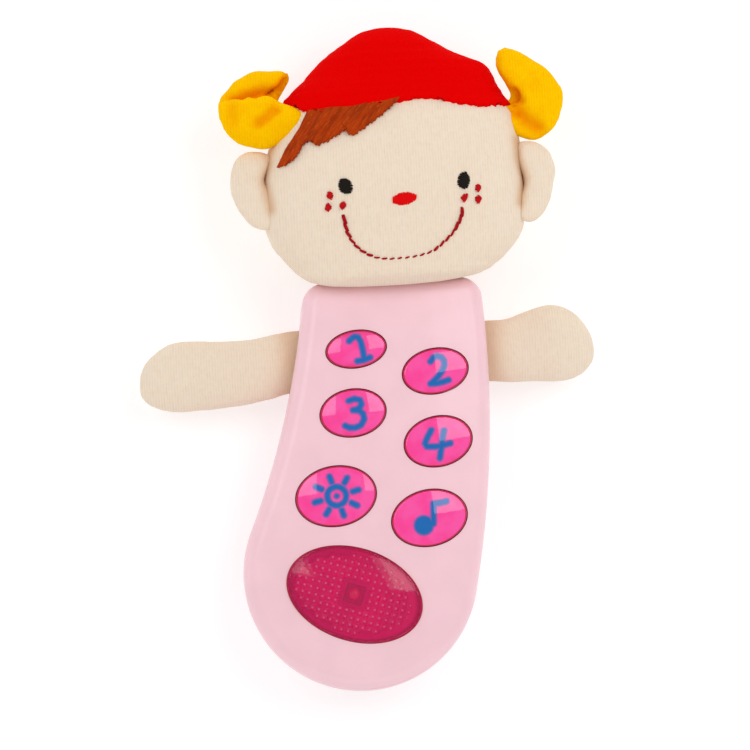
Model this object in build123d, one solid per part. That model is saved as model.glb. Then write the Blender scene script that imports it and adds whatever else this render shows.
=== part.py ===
from build123d import *
import os
from math import asin, cos, degrees, radians, sin, sqrt

# Baby's toy phone: a two-shell plastic handset with a soft rag-doll head and two stuffed arms.
#
# Millimetres. The phone lies on its back: z = 0 is the flat rear face, +Z comes out of the keypad,
# +Y points to the head and +X to the right of the keypad. The origin is on the rear face, at half
# of the handset's height.

# ---------------------------------------------------------------- driving dimensions

# Handset outline: a round bulb below, a hollow flank on the left and a bulging one on the right.
TOP_Y, TOP_LEFT_X, TOP_RIGHT_X = 64.5, -27.1, 27.9
BULB_CENTRE, BULB_R = Vector(-14, -26), 36.4
WAIST_R, BACK_R, CORNER_R = 266, 320, 7
THICKNESS, CROWN_R, CROWN_X = 32, 320, -6
FRONT_EDGE_R, REAR_EDGE_R = 5, 6
WALL, PARTING_Z, LIP_HEIGHT, LIP_WALL = 2.2, 15, 1.4, 1.0
GROOVE_WIDTH, GROOVE_DEPTH = 0.4, 0.3

# Keys and lens: centre x, centre y, half length, half width, tilt in degrees.
KEYS = {
    "key_1": (-12.0, 43.2, 9.4, 5.75, 6.4),
    "key_2": (12.2, 35.2, 10.35, 7.0, 8.6),
    "key_3": (-14.0, 23.5, 10.25, 7.35, 6.2),
    "key_4": (11.9, 13.4, 10.7, 7.75, 10.0),
    "key_sun": (-20.6, -1.9, 12.5, 9.25, 6.7),
    "key_note": (7.9, -10.1, 11.85, 8.65, 9.9),
}
LENS = (-16.5, -32.4, 21.6, 14.35, -20.6)
KEY_GAP, KEY_TRAVEL, KEY_WALL, KEY_RISE, KEY_EDGE, KEY_RIM_R = 0.25, 1.5, 1.4, 1.5, 0.35, 0.8
KEY_FLANGE, KEY_FLANGE_TOP, KEY_FLANGE_LOW = 1.2, -2.8, -4.2
STEM_R, STEM_LOW = 2.2, -7.2
LENS_WALL, LENS_RISE, LENS_EDGE, LENS_RIM_R = 1.6, 2.0, 0.3, 1.1
LENS_FLANGE, LENS_FLANGE_TOP, LENS_FLANGE_LOW = 1.3, -3.3, -4.8
REFLECTOR_FLOOR, REFLECTOR_T, LAMP_SIDE, LAMP_TOP, LED_R = -8.2, 1.0, 6, -4.2, 1.8

# Screws: a boss hangs from the front shell onto a boss of the rear shell.
CASE_SCREWS = [(-18, 52), (18.5, 52), (11.8, -31.7), (-37, -11.3), (-32, -44.5)]
BOARD_SCREWS = [(3, 46), (-25.5, 12.5), (-5.5, 10.5), (9.5, -25)]
BOSS_R, CASE_SCREW_R, SEAT_Z, BOSS_MEET_Z, CASE_SCREW_TIP = 2.7, 1.2, 6, 13, 20
WELL_R, WELL_WALL = 2.6, 1.1
BOARD_BOSS_R, BOARD_SCREW_R = 2.4, 0.9

# Circuit board and key membrane.
BOARD_Z, BOARD_T, BOARD_INSET, BOARD_TOP_Y = 18.8, 1.2, 8.5, 48.5
LEAD_R, LEAD_END_Z = 0.6, BOARD_Z - 0.4
MEMBRANE_T, DOME_R, DOME_GAP = 1.2, 4.2, 0.25

# Two AAA cells side by side along Y, in a box that the door closes.
CELL_R, CELL_BODY, NUB_R, NUB_LENGTH = 5.15, 43.3, 1.9, 1.1
CELL_X, CELL_Z = (-19.3, -8.7), 8.0
BOX = (-24.8, -3.2, -42, 6)
BOX_WALL, BOX_ROOF_Z = 1.5, 13.6
DOOR = (-27, -1, -49, 8)
DOOR_LOW, DOOR_HIGH, DOOR_GAP, DOOR_CORNER_R = 0.1, 2.2, 0.2, 3
LUG = (-14, 11, 4)
TONGUE_X, TONGUE_WIDTH, TONGUE_REACH = (-19, -9), 5, 2.4
CONTACT_T, SPRING_R, SPRING_WIRE_R, SPRING_TURNS = 0.3, 3.2, 0.3, 3
# The captive screw leaves its hole along the door's arc, so the hole is wider than the screw.
DOOR_SCREW_R, DOOR_SCREW_HOLE_R, DOOR_SCREW_TIP = 1.1, 1.7, 6.6

# Speaker behind a grille in the rear shell.
SPEAKER, SPEAKER_R, GRILLE_R, GRILLE_PITCH = (0, 36), 13.5, 0.9, 3.2

# Neck and arms. Each hinge plane has its x axis pointing away from the handset, z along the axis.
NECK_HALF_X, NECK_HALF_Z, NECK_X, NECK_Z = 21, 9, 1, 16
NECK_HINGE = Plane(origin=(0, TOP_Y + 1.5, NECK_Z), x_dir=(0, 1, 0), z_dir=(1, 0, 0))
NOD = 10
ARM_Z, ARM_HALF_Y, ARM_HALF_Z, SWING = 15, 10, 6.5, 20
ARM_HINGE = {
    "left": Plane(origin=(-31, 41, ARM_Z), x_dir=(-1, 0.19, 0), z_dir=(0, 0, 1)),
    "right": Plane(origin=(29.4, 41.8, ARM_Z), x_dir=(1, 0, 0), z_dir=(0, 0, 1)),
}
HINGE_GAP, SKIN = 0.4, 1.2

# Soft shapes as rows of ellipses. Arms: x, centre y, half size along Y, half size along Z.
ARM_ROWS = {
    "left": [(-31.1, 41.3, 10.2, 6.3), (-47, 38.8, 10.9, 7.6), (-62, 38.3, 11.7, 8.3),
             (-70, 38.1, 11.0, 7.8), (-75, 37.6, 8.9, 6.3), (-78.5, 36.8, 5.6, 4.0),
             (-80.2, 36.0, 1.8, 1.4)],
    "right": [(29.5, 41.7, 10.2, 6.3), (36.3, 41.5, 10.3, 7.0), (43.6, 42.5, 11.9, 8.0),
              (50, 43.0, 12.7, 8.6), (56.5, 42.3, 11.7, 7.8), (60.5, 41.4, 8.9, 6.0),
              (63, 40.6, 5.3, 3.6), (64.2, 40.0, 1.8, 1.4)],
}
# Head and hat: y, centre x, half size along X, half size along Z.
HEAD_Z, HAT_SEAM_Y = 25.2, 117.3
HEAD_ROWS = [(63, 2, 17, 9), (68, 2, 29, 17), (76, 2.2, 37.3, 22), (86, 2.2, 39.6, 24.6),
             (98, 2.2, 39.2, 25), (109, 3, 37, 23.5), (HAT_SEAM_Y, 4, 35.4, 21),
             (122, 4.6, 34, 19), (129, 5, 28.5, 15.5), (135, 4, 20, 12), (140, 3.2, 12, 8),
             (143.4, 3.5, 4.5, 3)]

# Ears and horns: flat pillows. Outline points run round the edge.
EAR_T, EAR_EDGE, EAR_Z, HORN_T, HORN_EDGE, HORN_Z = 9, 2.5, 30, 13, 1, 31
EAR_OUTLINES = {
    "left": [(-33, 106), (-40.2, 106.4), (-47.7, 101), (-48.6, 92), (-40.5, 81.7), (-33, 82)],
    "right": [(38, 106), (47.1, 105.5), (53, 98), (51.5, 86), (44.7, 78.9), (38, 80)],
}
HORN_OUTLINES = {
    "left": [(-25, 115), (-31.4, 107.9), (-39.2, 106.2), (-48.7, 110.8), (-50.9, 120),
             (-46, 128.5), (-36.9, 131.8), (-28.2, 129.8), (-31.8, 122)],
    "right": [(37, 116.5), (38.5, 110.5), (45.2, 106.3), (53, 107.4), (56.4, 116.9), (52, 128),
              (39.9, 135.5), (36.3, 131.5), (40.3, 121)],
}
HAIR_OUTLINE = [(-24.5, HAT_SEAM_Y), (-32.5, 100.7), (-26.8, 103.3), (-21.7, 106.9), (-13.9, 108.9),
                (-11.4, 110.2), (-10.4, 109.2), (-4, 112.3), (0, 115), (4, HAT_SEAM_Y)]
HAIR_T, THREAD_T = 1.5, 0.7

# Embroidery on the face: centre x, centre y, half length, half width, tilt in degrees.
EYES = [(-12.8, 93.7, 2.7, 1.9, -76), (23.9, 93.6, 2.6, 1.9, 73)]
NOSE = (5.2, 88.9, 3.65, 1.95, 3)
FRECKLES = [(-17.7, 91.0), (-18.5, 87.4), (-13.8, 87.9), (28.1, 91.1), (23.8, 88.2), (28.0, 87.4)]
FRECKLE_R = 0.75
MOUTH = [(-14, 84.2), (-9, 72.8), (0.6, 70.3), (11.4, 71.7), (21.5, 79.9), (23.2, 84.7)]
MOUTH_WIDTH = 1.5

FAR = 200


# ---------------------------------------------------------------- helpers

def rod(x, y, radius, low, high):
    """Upright cylinder between two heights."""
    return Pos(x, y, (low + high) / 2) * Cylinder(radius, high - low)


def block(x_low, x_high, y_low, y_high, z_low, z_high):
    """Box between its lowest and highest corners."""
    middle = Pos((x_low + x_high) / 2, (y_low + y_high) / 2, (z_low + z_high) / 2)
    return middle * Box(x_high - x_low, y_high - y_low, z_high - z_low)


def prism(plan, low, high):
    """Plan drawn on the XY plane, raised between two heights."""
    return extrude(Pos(0, 0, low) * plan, high - low, dir=(0, 0, 1))


def joined(pieces):
    """Union of a list of solids."""
    pieces = list(pieces)
    return pieces[0].fuse(*pieces[1:]) if len(pieces) > 1 else pieces[0]


def turned(*outline):
    """Solid turned round z from an outline of edges drawn as radius and height."""
    return revolve(Plane.XZ * make_face(outline), Axis.Z)


def stretched(solid, length, width):
    """Round solid of the mean radius, stretched to an oval of these half sizes."""
    mean = sqrt(length * width)
    return scale(solid, by=(length / mean, width / mean, 1))


def circle_meet(centre_a, radius_a, centre_b, radius_b, side):
    """Where two circles cross, on the left (+1) or right (-1) of the way from a to b."""
    way = centre_b - centre_a
    along = (radius_a**2 - radius_b**2 + way.length**2) / (2 * way.length)
    across = sqrt(radius_a**2 - along**2) * side
    unit = way.normalized()
    return centre_a + unit * along + Vector(-unit.Y, unit.X) * across


# ---------------------------------------------------------------- handset body

def handset_outline():
    """Closed outline: two flank arcs run tangent into the bulb, the top corners are rounded."""
    left, right = Vector(TOP_LEFT_X, TOP_Y), Vector(TOP_RIGHT_X, TOP_Y)
    waist = circle_meet(BULB_CENTRE, BULB_R + WAIST_R, left, WAIST_R, 1)
    back = circle_meet(BULB_CENTRE, BACK_R - BULB_R, right, BACK_R, 1)
    left_touch = BULB_CENTRE + (waist - BULB_CENTRE).normalized() * BULB_R
    right_touch = BULB_CENTRE - (back - BULB_CENTRE).normalized() * BULB_R
    lowest = BULB_CENTRE - Vector(0, BULB_R)
    plan = make_face([
        arc_about(waist, WAIST_R, left, left_touch),
        ThreePointArc(left_touch, lowest, right_touch),
        arc_about(back, BACK_R, right_touch, right),
        Line(right, left),
    ])
    return fillet(plan.vertices().sort_by(Axis.Y)[-2:], CORNER_R)


def arc_about(centre, radius, start, end):
    """Short arc of a known centre."""
    middle = centre + ((start + end) / 2 - centre).normalized() * radius
    return ThreePointArc(start, middle, end)


OUTLINE = handset_outline()


def inset_plan(inset):
    return offset(OUTLINE, -inset, kind=Kind.ARC) if inset else OUTLINE


def handset(inset):
    """The handset's outer form, drawn in by inset on every side."""
    body = prism(inset_plan(inset), inset, THICKNESS + 5)
    body &= Pos(CROWN_X, 0, THICKNESS - CROWN_R) * Rot(90, 0, 0) * Cylinder(CROWN_R - inset, 2 * FAR)
    body = fillet(body.faces().sort_by(Axis.Z)[-1].edges(), FRONT_EDGE_R - inset)
    return fillet(body.faces().sort_by(Axis.Z)[0].edges(), REAR_EDGE_R - inset)


OUTER, INNER = handset(0), handset(WALL)


def crown_z(x):
    return THICKNESS - CROWN_R + sqrt(CROWN_R**2 - (x - CROWN_X) ** 2)


def on_face(x, y, turn):
    """Place on the crowned face, with z along the face's normal and x turned by turn degrees."""
    lean = degrees(asin((x - CROWN_X) / CROWN_R))
    return Pos(x, y, crown_z(x)) * Rot(0, lean, 0) * Rot(0, 0, turn)


def face_hole(x, y, length, width, turn, gap):
    """Cutter for an oval opening through the face."""
    plan = Ellipse(length + gap, width + gap)
    return on_face(x, y, turn) * extrude(plan, WALL + 3, both=True)


def lip_ring():
    """Tongue of the rear shell that fits a rebate inside the front shell."""
    ring = inset_plan(WALL - LIP_WALL) - inset_plan(WALL)
    return prism(ring, PARTING_Z, PARTING_Z + LIP_HEIGHT)


def arm_opening(side, gap):
    """Slot-shaped bar through a side wall, where an arm comes out."""
    hinge = ARM_HINGE[side]
    plan = SlotOverall(2 * (ARM_HALF_Y + gap), 2 * (ARM_HALF_Z + gap))
    return hinge.location * Rot(0, 0, 90) * Rot(90, 0, 0) * extrude(plan, 6, both=True)


def neck_opening(gap, y_low, y_high):
    """Slot-shaped bar through the top wall, where the neck comes out."""
    plan = SlotOverall(2 * (NECK_HALF_X + gap), 2 * (NECK_HALF_Z + gap))
    return Pos(NECK_X, y_high, NECK_Z) * Rot(90, 0, 0) * extrude(plan, y_high - y_low)


def parting_groove():
    """Shallow step round the outside, where the two shells meet."""
    return prism(OUTLINE - inset_plan(GROOVE_DEPTH), PARTING_Z - GROOVE_WIDTH / 2,
                 PARTING_Z + GROOVE_WIDTH / 2)


def side_cuts():
    """What both shells lose along their walls."""
    return [arm_opening("left", 0), arm_opening("right", 0), neck_opening(0, TOP_Y - 6, TOP_Y + 6),
            parting_groove()]


def front_shell():
    shell = (OUTER - INNER) & block(-FAR, FAR, -FAR, FAR, PARTING_Z, FAR)
    shell -= lip_ring()
    posts = [rod(x, y, BOSS_R, BOSS_MEET_Z, THICKNESS) for x, y in CASE_SCREWS]
    posts += [rod(x, y, BOARD_BOSS_R, BOARD_Z + BOARD_T, THICKNESS) for x, y in BOARD_SCREWS]
    shell = shell.fuse(*[post & handset(WALL / 2) for post in posts])
    cutters = [rod(x, y, CASE_SCREW_R, 0, CASE_SCREW_TIP + 1) for x, y in CASE_SCREWS]
    cutters += [rod(x, y, BOARD_SCREW_R, 0, BOARD_Z + 8) for x, y in BOARD_SCREWS]
    cutters += [face_hole(*key, KEY_GAP) for key in KEYS.values()]
    cutters += [face_hole(*LENS, 0)]
    return shell.cut(*cutters, *side_cuts())


# ---------------------------------------------------------------- rear shell and battery door

def door_plan(gap):
    """Rounded rectangle with a screw lug at its upper edge."""
    x_low, x_high, y_low, y_high = DOOR
    lug_x, lug_y, lug_r = LUG
    middle = Pos((x_low + x_high) / 2, (y_low + y_high) / 2)
    plan = middle * RectangleRounded(x_high - x_low + 2 * gap, y_high - y_low + 2 * gap, DOOR_CORNER_R)
    lug = Pos(lug_x, lug_y) * Circle(lug_r + gap)
    neck = Pos(lug_x, (lug_y + y_high) / 2) * Rectangle(2 * (lug_r + gap), lug_y - y_high + 1)
    return plan + lug + neck


def tongues(side_gap, reach, low, high, y_high):
    """Bars at the foot of the door, or the slots that they swing in."""
    half = TONGUE_WIDTH / 2 + side_gap
    return [block(x - half, x + half, DOOR[2] - reach, y_high, low, high) for x in TONGUE_X]


def battery_box():
    """Tub for the cells, with the ledge that the door lies against."""
    x_low, x_high, y_low, y_high = BOX
    wall = BOX_WALL
    tub = block(x_low - wall, x_high + wall, y_low - wall, y_high + wall, WALL, BOX_ROOF_Z + wall)
    ledge = prism(offset(door_plan(0), 2), DOOR_HIGH + 0.1, DOOR_HIGH + 0.1 + wall)
    lug_x, lug_y, _ = LUG
    boss = rod(lug_x, lug_y, BOSS_R + 0.6, DOOR_HIGH + 0.1, BOX_ROOF_Z - 1)
    hollow = block(x_low, x_high, y_low, y_high, -1, BOX_ROOF_Z)
    return joined([tub, ledge, boss]) - hollow


def grille():
    """Rings of round holes in front of the speaker."""
    x, y = SPEAKER
    holes = [rod(x, y, GRILLE_R, -1, WALL + 1)]
    for ring in (1, 2, 3):
        for step in range(6 * ring):
            angle, reach = radians(60 * step / ring), GRILLE_PITCH * ring
            holes.append(rod(x + reach * cos(angle), y + reach * sin(angle), GRILLE_R, -1, WALL + 1))
    return holes


def rear_shell():
    shell = (OUTER - INNER) & block(-FAR, FAR, -FAR, FAR, -1, PARTING_Z)
    wells = [rod(x, y, WELL_R + WELL_WALL, 0, SEAT_Z + 2) for x, y in CASE_SCREWS]
    stems = [rod(x, y, BOSS_R, SEAT_Z, BOSS_MEET_Z) for x, y in CASE_SCREWS]
    seat = rod(*SPEAKER, SPEAKER_R + 1.4, WALL / 2, 5) - rod(*SPEAKER, SPEAKER_R + 0.2, WALL, 6)
    shell = shell.fuse(lip_ring(), seat, *[piece & OUTER for piece in wells + stems])
    shell = shell.cut(prism(door_plan(DOOR_GAP), -1, DOOR_HIGH + 0.1))
    shell = shell.fuse(battery_box())
    cutters = tongues(0.5, 4, DOOR_HIGH, 7, DOOR[2] + 5.4)
    cutters += [rod(x, y, WELL_R, -1, SEAT_Z) for x, y in CASE_SCREWS]
    cutters += [rod(x, y, CASE_SCREW_R, 0, FAR) for x, y in CASE_SCREWS]
    cutters += [rod(LUG[0], LUG[1], DOOR_SCREW_HOLE_R, 0, BOX_ROOF_Z - 2)]
    return shell.cut(*cutters, *grille(), *side_cuts())


def battery_door():
    door = prism(door_plan(0), DOOR_LOW, DOOR_HIGH)
    risers = tongues(0, 0, DOOR_LOW, 4, DOOR[2] + 1.6)
    hooks = tongues(0, TONGUE_REACH, 2.5, 4, DOOR[2] + 1.6)
    door = door.fuse(*risers, *hooks)
    screw = [rod(LUG[0], LUG[1], DOOR_SCREW_R + 0.1, 0, 3), rod(LUG[0], LUG[1], 2.3, -1, 1.2)]
    x_mid = (DOOR[0] + DOOR[1]) / 2
    grip = [block(x_mid - 6, x_mid + 6, y, y + 1, -1, DOOR_LOW + 0.4) for y in (-2, 0, 2, 4)]
    return door.cut(*screw, *grip)


def screw(x, y, head_r, head_low, head_high, shank_r, tip):
    """Pan-head cross-slot screw that points up."""
    body = rod(x, y, head_r, head_low, head_high) + rod(x, y, shank_r, head_high, tip)
    slot = block(-head_r * 0.6, head_r * 0.6, -0.3, 0.3, head_low - 1, head_low + 0.7)
    return body - Pos(x, y, 0) * slot - Pos(x, y, 0) * Rot(0, 0, 90) * slot


def battery_door_screw():
    return screw(LUG[0], LUG[1], 2.2, 0.2, 1.2, DOOR_SCREW_R, DOOR_SCREW_TIP)


def case_screws():
    return [screw(x, y, 2.3, SEAT_Z - 1.6, SEAT_Z, CASE_SCREW_R, CASE_SCREW_TIP) for x, y in CASE_SCREWS]


def board_screws():
    return [screw(x, y, 1.8, BOARD_Z - 1.3, BOARD_Z, BOARD_SCREW_R, BOARD_Z + 6) for x, y in BOARD_SCREWS]


# ---------------------------------------------------------------- keys, lens and lamp

def key_cap(x, y, length, width, turn):
    """Hollow domed cap with a retaining flange and a stem that presses the membrane."""
    r = sqrt(length * width)
    skirt, ceiling = r - KEY_WALL, KEY_EDGE - KEY_WALL
    top = ThreePointArc((0, KEY_RISE), (r / 2, KEY_EDGE + 0.76 * (KEY_RISE - KEY_EDGE)), (r, KEY_EDGE))
    rest = Polyline([(r, KEY_EDGE), (r, KEY_FLANGE_TOP), (r + KEY_FLANGE, KEY_FLANGE_TOP),
                     (r + KEY_FLANGE, KEY_FLANGE_LOW), (skirt, KEY_FLANGE_LOW), (skirt, ceiling),
                     (STEM_R, ceiling), (STEM_R, STEM_LOW), (0, STEM_LOW), (0, KEY_RISE)])
    plan = make_face([top, rest])
    rim = plan.vertices().sort_by_distance((r, KEY_EDGE))[0]
    cap = revolve(Plane.XZ * fillet(rim, KEY_RIM_R), Axis.Z)
    return on_face(x, y, turn) * stretched(cap, length, width)


def lens():
    x, y, length, width, turn = LENS
    r = sqrt(length * width)
    inner = r - LENS_WALL
    drop = 0.76 * (LENS_RISE - LENS_EDGE)
    plan = make_face([
        ThreePointArc((0, LENS_RISE), (r / 2, LENS_EDGE + drop), (r, LENS_EDGE)),
        Polyline([(r, LENS_EDGE), (r, LENS_FLANGE_TOP), (r + LENS_FLANGE, LENS_FLANGE_TOP),
                  (r + LENS_FLANGE, LENS_FLANGE_LOW), (inner, LENS_FLANGE_LOW),
                  (inner, LENS_EDGE - LENS_WALL)]),
        ThreePointArc((inner, LENS_EDGE - LENS_WALL), (inner / 2, LENS_EDGE - LENS_WALL + drop),
                      (0, LENS_RISE - LENS_WALL)),
        Line((0, LENS_RISE - LENS_WALL), (0, LENS_RISE)),
    ])
    rim = plan.vertices().sort_by_distance((r, LENS_EDGE))[0]
    cap = revolve(Plane.XZ * fillet(rim, LENS_RIM_R), Axis.Z)
    return on_face(x, y, turn) * stretched(cap, length, width)


def reflector():
    """Oval tray below the lens, with a square hole for the lamp holder."""
    x, y, length, width, turn = LENS
    r = sqrt(length * width)
    low, top = REFLECTOR_FLOOR, LENS_FLANGE_LOW
    edge = r + LENS_FLANGE
    tray = turned(Polyline([(0, low), (r - 3, low), (r, top - REFLECTOR_T), (edge, top - REFLECTOR_T),
                            (edge, top), (r - 1, top), (r - 3.6, low + REFLECTOR_T),
                            (0, low + REFLECTOR_T), (0, low)]))
    hole = Box(LAMP_SIDE, LAMP_SIDE, 40)
    return on_face(x, y, turn) * (stretched(tray, length, width) - hole)


def lamp_floor():
    """Height of the board's upper face, seen from the lens's place on the face."""
    return BOARD_Z + BOARD_T - crown_z(LENS[0])


def led_holder():
    x, y, _, _, turn = LENS
    low = lamp_floor() + 0.15
    body = Pos(0, 0, (low + LAMP_TOP) / 2) * Box(LAMP_SIDE, LAMP_SIDE, LAMP_TOP - low)
    body = chamfer(body.faces().sort_by(Axis.Z)[-1].edges(), 0.5)
    return on_face(x, y, turn) * (body - rod(0, 0, LED_R, low - 1, 0))


def led():
    x, y, _, _, turn = LENS
    low = lamp_floor() + 0.6
    body = rod(0, 0, LED_R, low, LAMP_TOP) + Pos(0, 0, LAMP_TOP) * Sphere(LED_R)
    return on_face(x, y, turn) * body


# ---------------------------------------------------------------- electronics

def board_plan(inset):
    plan = inset_plan(BOARD_INSET + inset) & Pos(0, BOARD_TOP_Y - inset - FAR / 2) * Rectangle(FAR, FAR)
    notches = [Pos(x, y) * Circle(BOSS_R + 0.5) for x, y in CASE_SCREWS]
    return plan - notches


def circuit_board():
    plan = board_plan(0) - [Pos(x, y) * Circle(BOARD_SCREW_R) for x, y in BOARD_SCREWS]
    return prism(plan, BOARD_Z, BOARD_Z + BOARD_T)


def key_membrane():
    """Silicone sheet on the board with one contact dome below each key."""
    low, high = BOARD_Z + BOARD_T, BOARD_Z + BOARD_T + MEMBRANE_T
    x, y, length, width, turn = LENS
    lens_zone = Pos(x, y) * Rot(0, 0, turn) * Ellipse(length + 2.5, width + 2.5)
    plan = board_plan(1) & Pos(0, FAR / 2 - 21.5) * Rectangle(FAR, FAR)
    plan = plan - lens_zone - [Pos(px, py) * Circle(BOARD_BOSS_R + 0.3) for px, py in BOARD_SCREWS]
    sheet = max(prism(plan, low, high).solids(), key=lambda piece: piece.volume)
    domes = []
    for x, y, *_ in KEYS.values():
        top = crown_z(x) + STEM_LOW - DOME_GAP
        domes.append(Pos(x, y, (low + top) / 2) * Cone(DOME_R, STEM_R + 0.3, top - low))
    return sheet.fuse(*domes)


def chip_blob():
    """Black resin over the sound chip, on the board's underside."""
    dome = Sphere(9) & block(-9, 9, -9, 9, -9, -7.4)
    return Pos(14, -6, BOARD_Z + 7.4) * dome


def board_components():
    """Resistors, capacitors and a crystal on the board's underside."""
    chips = [block(x, x + 3.2, y, y + 1.6, BOARD_Z - 0.9, BOARD_Z)
             for x in (6, 12) for y in (10, 14, 18)]
    capacitors = [rod(x, -18, 2.2, BOARD_Z - 4.5, BOARD_Z) for x in (9, 15)]
    return chips + capacitors + [block(4, 12, 24, 28, BOARD_Z - 2.5, BOARD_Z)]


def battery_cells():
    """Two cells that lie side by side and point opposite ways."""
    y_low, y_high = BOX[2] + CONTACT_T, BOX[3] - CONTACT_T
    cells = []
    for x, end, way in ((CELL_X[0], y_high, -1), (CELL_X[1], y_low, 1)):
        start = Pos(x, end, CELL_Z) * Rot(-90 * way, 0, 0)
        nub = start * Pos(0, 0, NUB_LENGTH / 2) * Cylinder(NUB_R, NUB_LENGTH)
        body = start * Pos(0, 0, NUB_LENGTH + CELL_BODY / 2) * Cylinder(CELL_R, CELL_BODY)
        cells.append(nub + body)
    return cells


def contact_springs():
    """Coil springs that press on the cells' flat ends."""
    length = BOX[3] - BOX[2] - 2 * CONTACT_T - NUB_LENGTH - CELL_BODY
    height = length - 2 * SPRING_WIRE_R
    springs = []
    for x, end, way in ((CELL_X[0], BOX[2] + CONTACT_T, 1), (CELL_X[1], BOX[3] - CONTACT_T, -1)):
        path = Helix(pitch=height / SPRING_TURNS, height=height, radius=SPRING_R)
        coil = sweep(Plane(origin=path @ 0, z_dir=path % 0) * Circle(SPRING_WIRE_R), path=path)
        springs.append(Pos(x, end + way * SPRING_WIRE_R, CELL_Z) * Rot(-90 * way, 0, 0) * coil)
    return springs


def contact_plates():
    """Two end plates with solder tabs at the top of the box, and the bridge at its foot."""
    y_low, y_high = BOX[2], BOX[3]
    plates = [block(x - 4.5, x + 4.5, y_high - CONTACT_T, y_high, 3.5, 12.5) for x in CELL_X]
    bridge = block(CELL_X[0] - 4.5, CELL_X[1] + 4.5, y_low, y_low + CONTACT_T, 3.5, 12.5)
    return plates + [bridge]


def lead(points, radii, wire_r):
    """Insulated wire of straight runs and tangent arcs."""
    path = FilletPolyline(*points, radius=radii)
    return sweep(Plane(origin=path @ 0, z_dir=path % 0) * Circle(wire_r), path=path)


def battery_leads():
    """From above each end plate to the board: red at the positive plate, black at the spring."""
    low = BOX_ROOF_Z + BOX_WALL
    leads = {}
    for name, x in (("battery_lead_red", CELL_X[0]), ("battery_lead_black", CELL_X[1])):
        points = [(x, BOX[3] - 2, low + 0.7), (x, BOX[3] + 5, low + 0.9), (x + 3, BOX[3] + 9, low + 2),
                  (x + 3, BOX[3] + 10.5, LEAD_END_Z)]
        leads[name] = lead(points, 1.6, LEAD_R)
    return leads


def speaker_leads():
    x, y = SPEAKER
    return [lead([(x + dx, y - SPEAKER_R - 1.2, 6.5), (x + dx, y - SPEAKER_R - 4, 8),
                  (x + dx + 1, y - SPEAKER_R - 4, 14), (x + dx + 2, y - SPEAKER_R - 2, LEAD_END_Z)],
                 2, LEAD_R) for dx in (-2, 2)]


def speaker():
    """Gasket, basket, cone and magnet, facing the grille."""
    place = Pos(*SPEAKER, WALL)
    r = SPEAKER_R
    gasket = rod(0, 0, r, 0, 0.8) - rod(0, 0, r - 2, -1, 2)
    basket = turned(Polyline([(r - 2, 0.8), (r, 0.8), (r, 2), (r - 1.2, 2.4), (8, 5.5), (6.4, 5.5),
                              (6.4, 4.7), (7.6, 4.7), (r - 2, 1.8), (r - 2, 0.8)]))
    cone = turned(Polyline([(2.6, 3.4), (r - 2, 0.9), (r - 2, 1.3), (3, 3.9), (0, 3.2), (0, 2.8),
                            (2.6, 3.4)]))
    magnet = rod(0, 0, 6.4, 4.7, 8.2)
    return {"speaker_gasket": place * gasket, "speaker_basket": place * basket,
            "speaker_cone": place * cone, "speaker_magnet": place * magnet}


# ---------------------------------------------------------------- soft head and arms

def swing_relief(hinge, swing, gap):
    """All that comes nearer to the handset than a piece on this hinge may reach."""
    return joined(hinge.location * Rot(0, 0, side * (swing + 0.5)) * Pos(gap - FAR / 2, 0, 0)
                  * Box(FAR, FAR, FAR) for side in (-1, 1))


def arm(side):
    """Sewn cover and stuffing of one arm."""
    hinge = ARM_HINGE[side]
    rows = ARM_ROWS[side]

    def form(rows, skin):
        return loft([Plane(origin=(x, y, ARM_Z), x_dir=(0, 1, 0), z_dir=(1, 0, 0)).location
                     * Ellipse(half_y - skin, half_z - skin) for x, y, half_y, half_z in rows])

    stuffing = form(rows[:-1], SKIN) - swing_relief(hinge, SWING, HINGE_GAP + SKIN)
    cover = form(rows, 0) - swing_relief(hinge, SWING, HINGE_GAP) - stuffing
    return {f"arm_{side}_cover": cover, f"arm_{side}_stuffing": stuffing}


def arm_anchor(side):
    """Block in the wall opening, with a flange behind the wall."""
    hinge = ARM_HINGE[side]
    x, y = hinge.origin.X, hinge.origin.Y
    half_y, half_z = ARM_HALF_Y + 2, ARM_HALF_Z + 2
    zone = block(x - 15, x + 15, y - half_y, y + half_y, ARM_Z - half_z, ARM_Z + half_z)
    flange = prism(inset_plan(WALL + 0.2) - inset_plan(WALL + 2.2), 2, 28) & zone
    plug = arm_opening(side, -0.1) & prism(inset_plan(0.2) - inset_plan(WALL + 2.2), 2, 28)
    return flange + plug


def neck():
    """Sleeve that comes through the top wall, and the plate that clamps its flange."""
    plate = neck_opening(1.4, TOP_Y - WALL - 3, TOP_Y - WALL - 0.2)
    flange = neck_opening(1.4, TOP_Y - WALL - 4.5, TOP_Y - WALL - 3)
    sleeve = neck_opening(-0.2, TOP_Y - WALL - 4.5, TOP_Y + 1.4)
    return {"neck_plate": plate - neck_opening(-0.2, 0, FAR), "neck_sleeve": sleeve + flange}


def head_form(grow, rows=HEAD_ROWS):
    """Loft of the head and hat, grown outward."""
    return loft([Plane(origin=(x, y, HEAD_Z), x_dir=(1, 0, 0), z_dir=(0, 1, 0)).location
                 * Ellipse(half_x + grow, half_z + grow) for y, x, half_x, half_z in rows])


HEAD = head_form(0)


def head():
    """One stuffed bag: cream cover below the hat seam, red cover above it."""
    stuffing = head_form(-SKIN, HEAD_ROWS[:-1]) - swing_relief(NECK_HINGE, NOD, HINGE_GAP + SKIN)
    cover = HEAD - swing_relief(NECK_HINGE, NOD, HINGE_GAP) - stuffing
    below = block(-FAR, FAR, -FAR, HAT_SEAM_Y, -FAR, FAR)
    return {"head_cover": cover & below, "hat": cover - below, "head_stuffing": stuffing}


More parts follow.
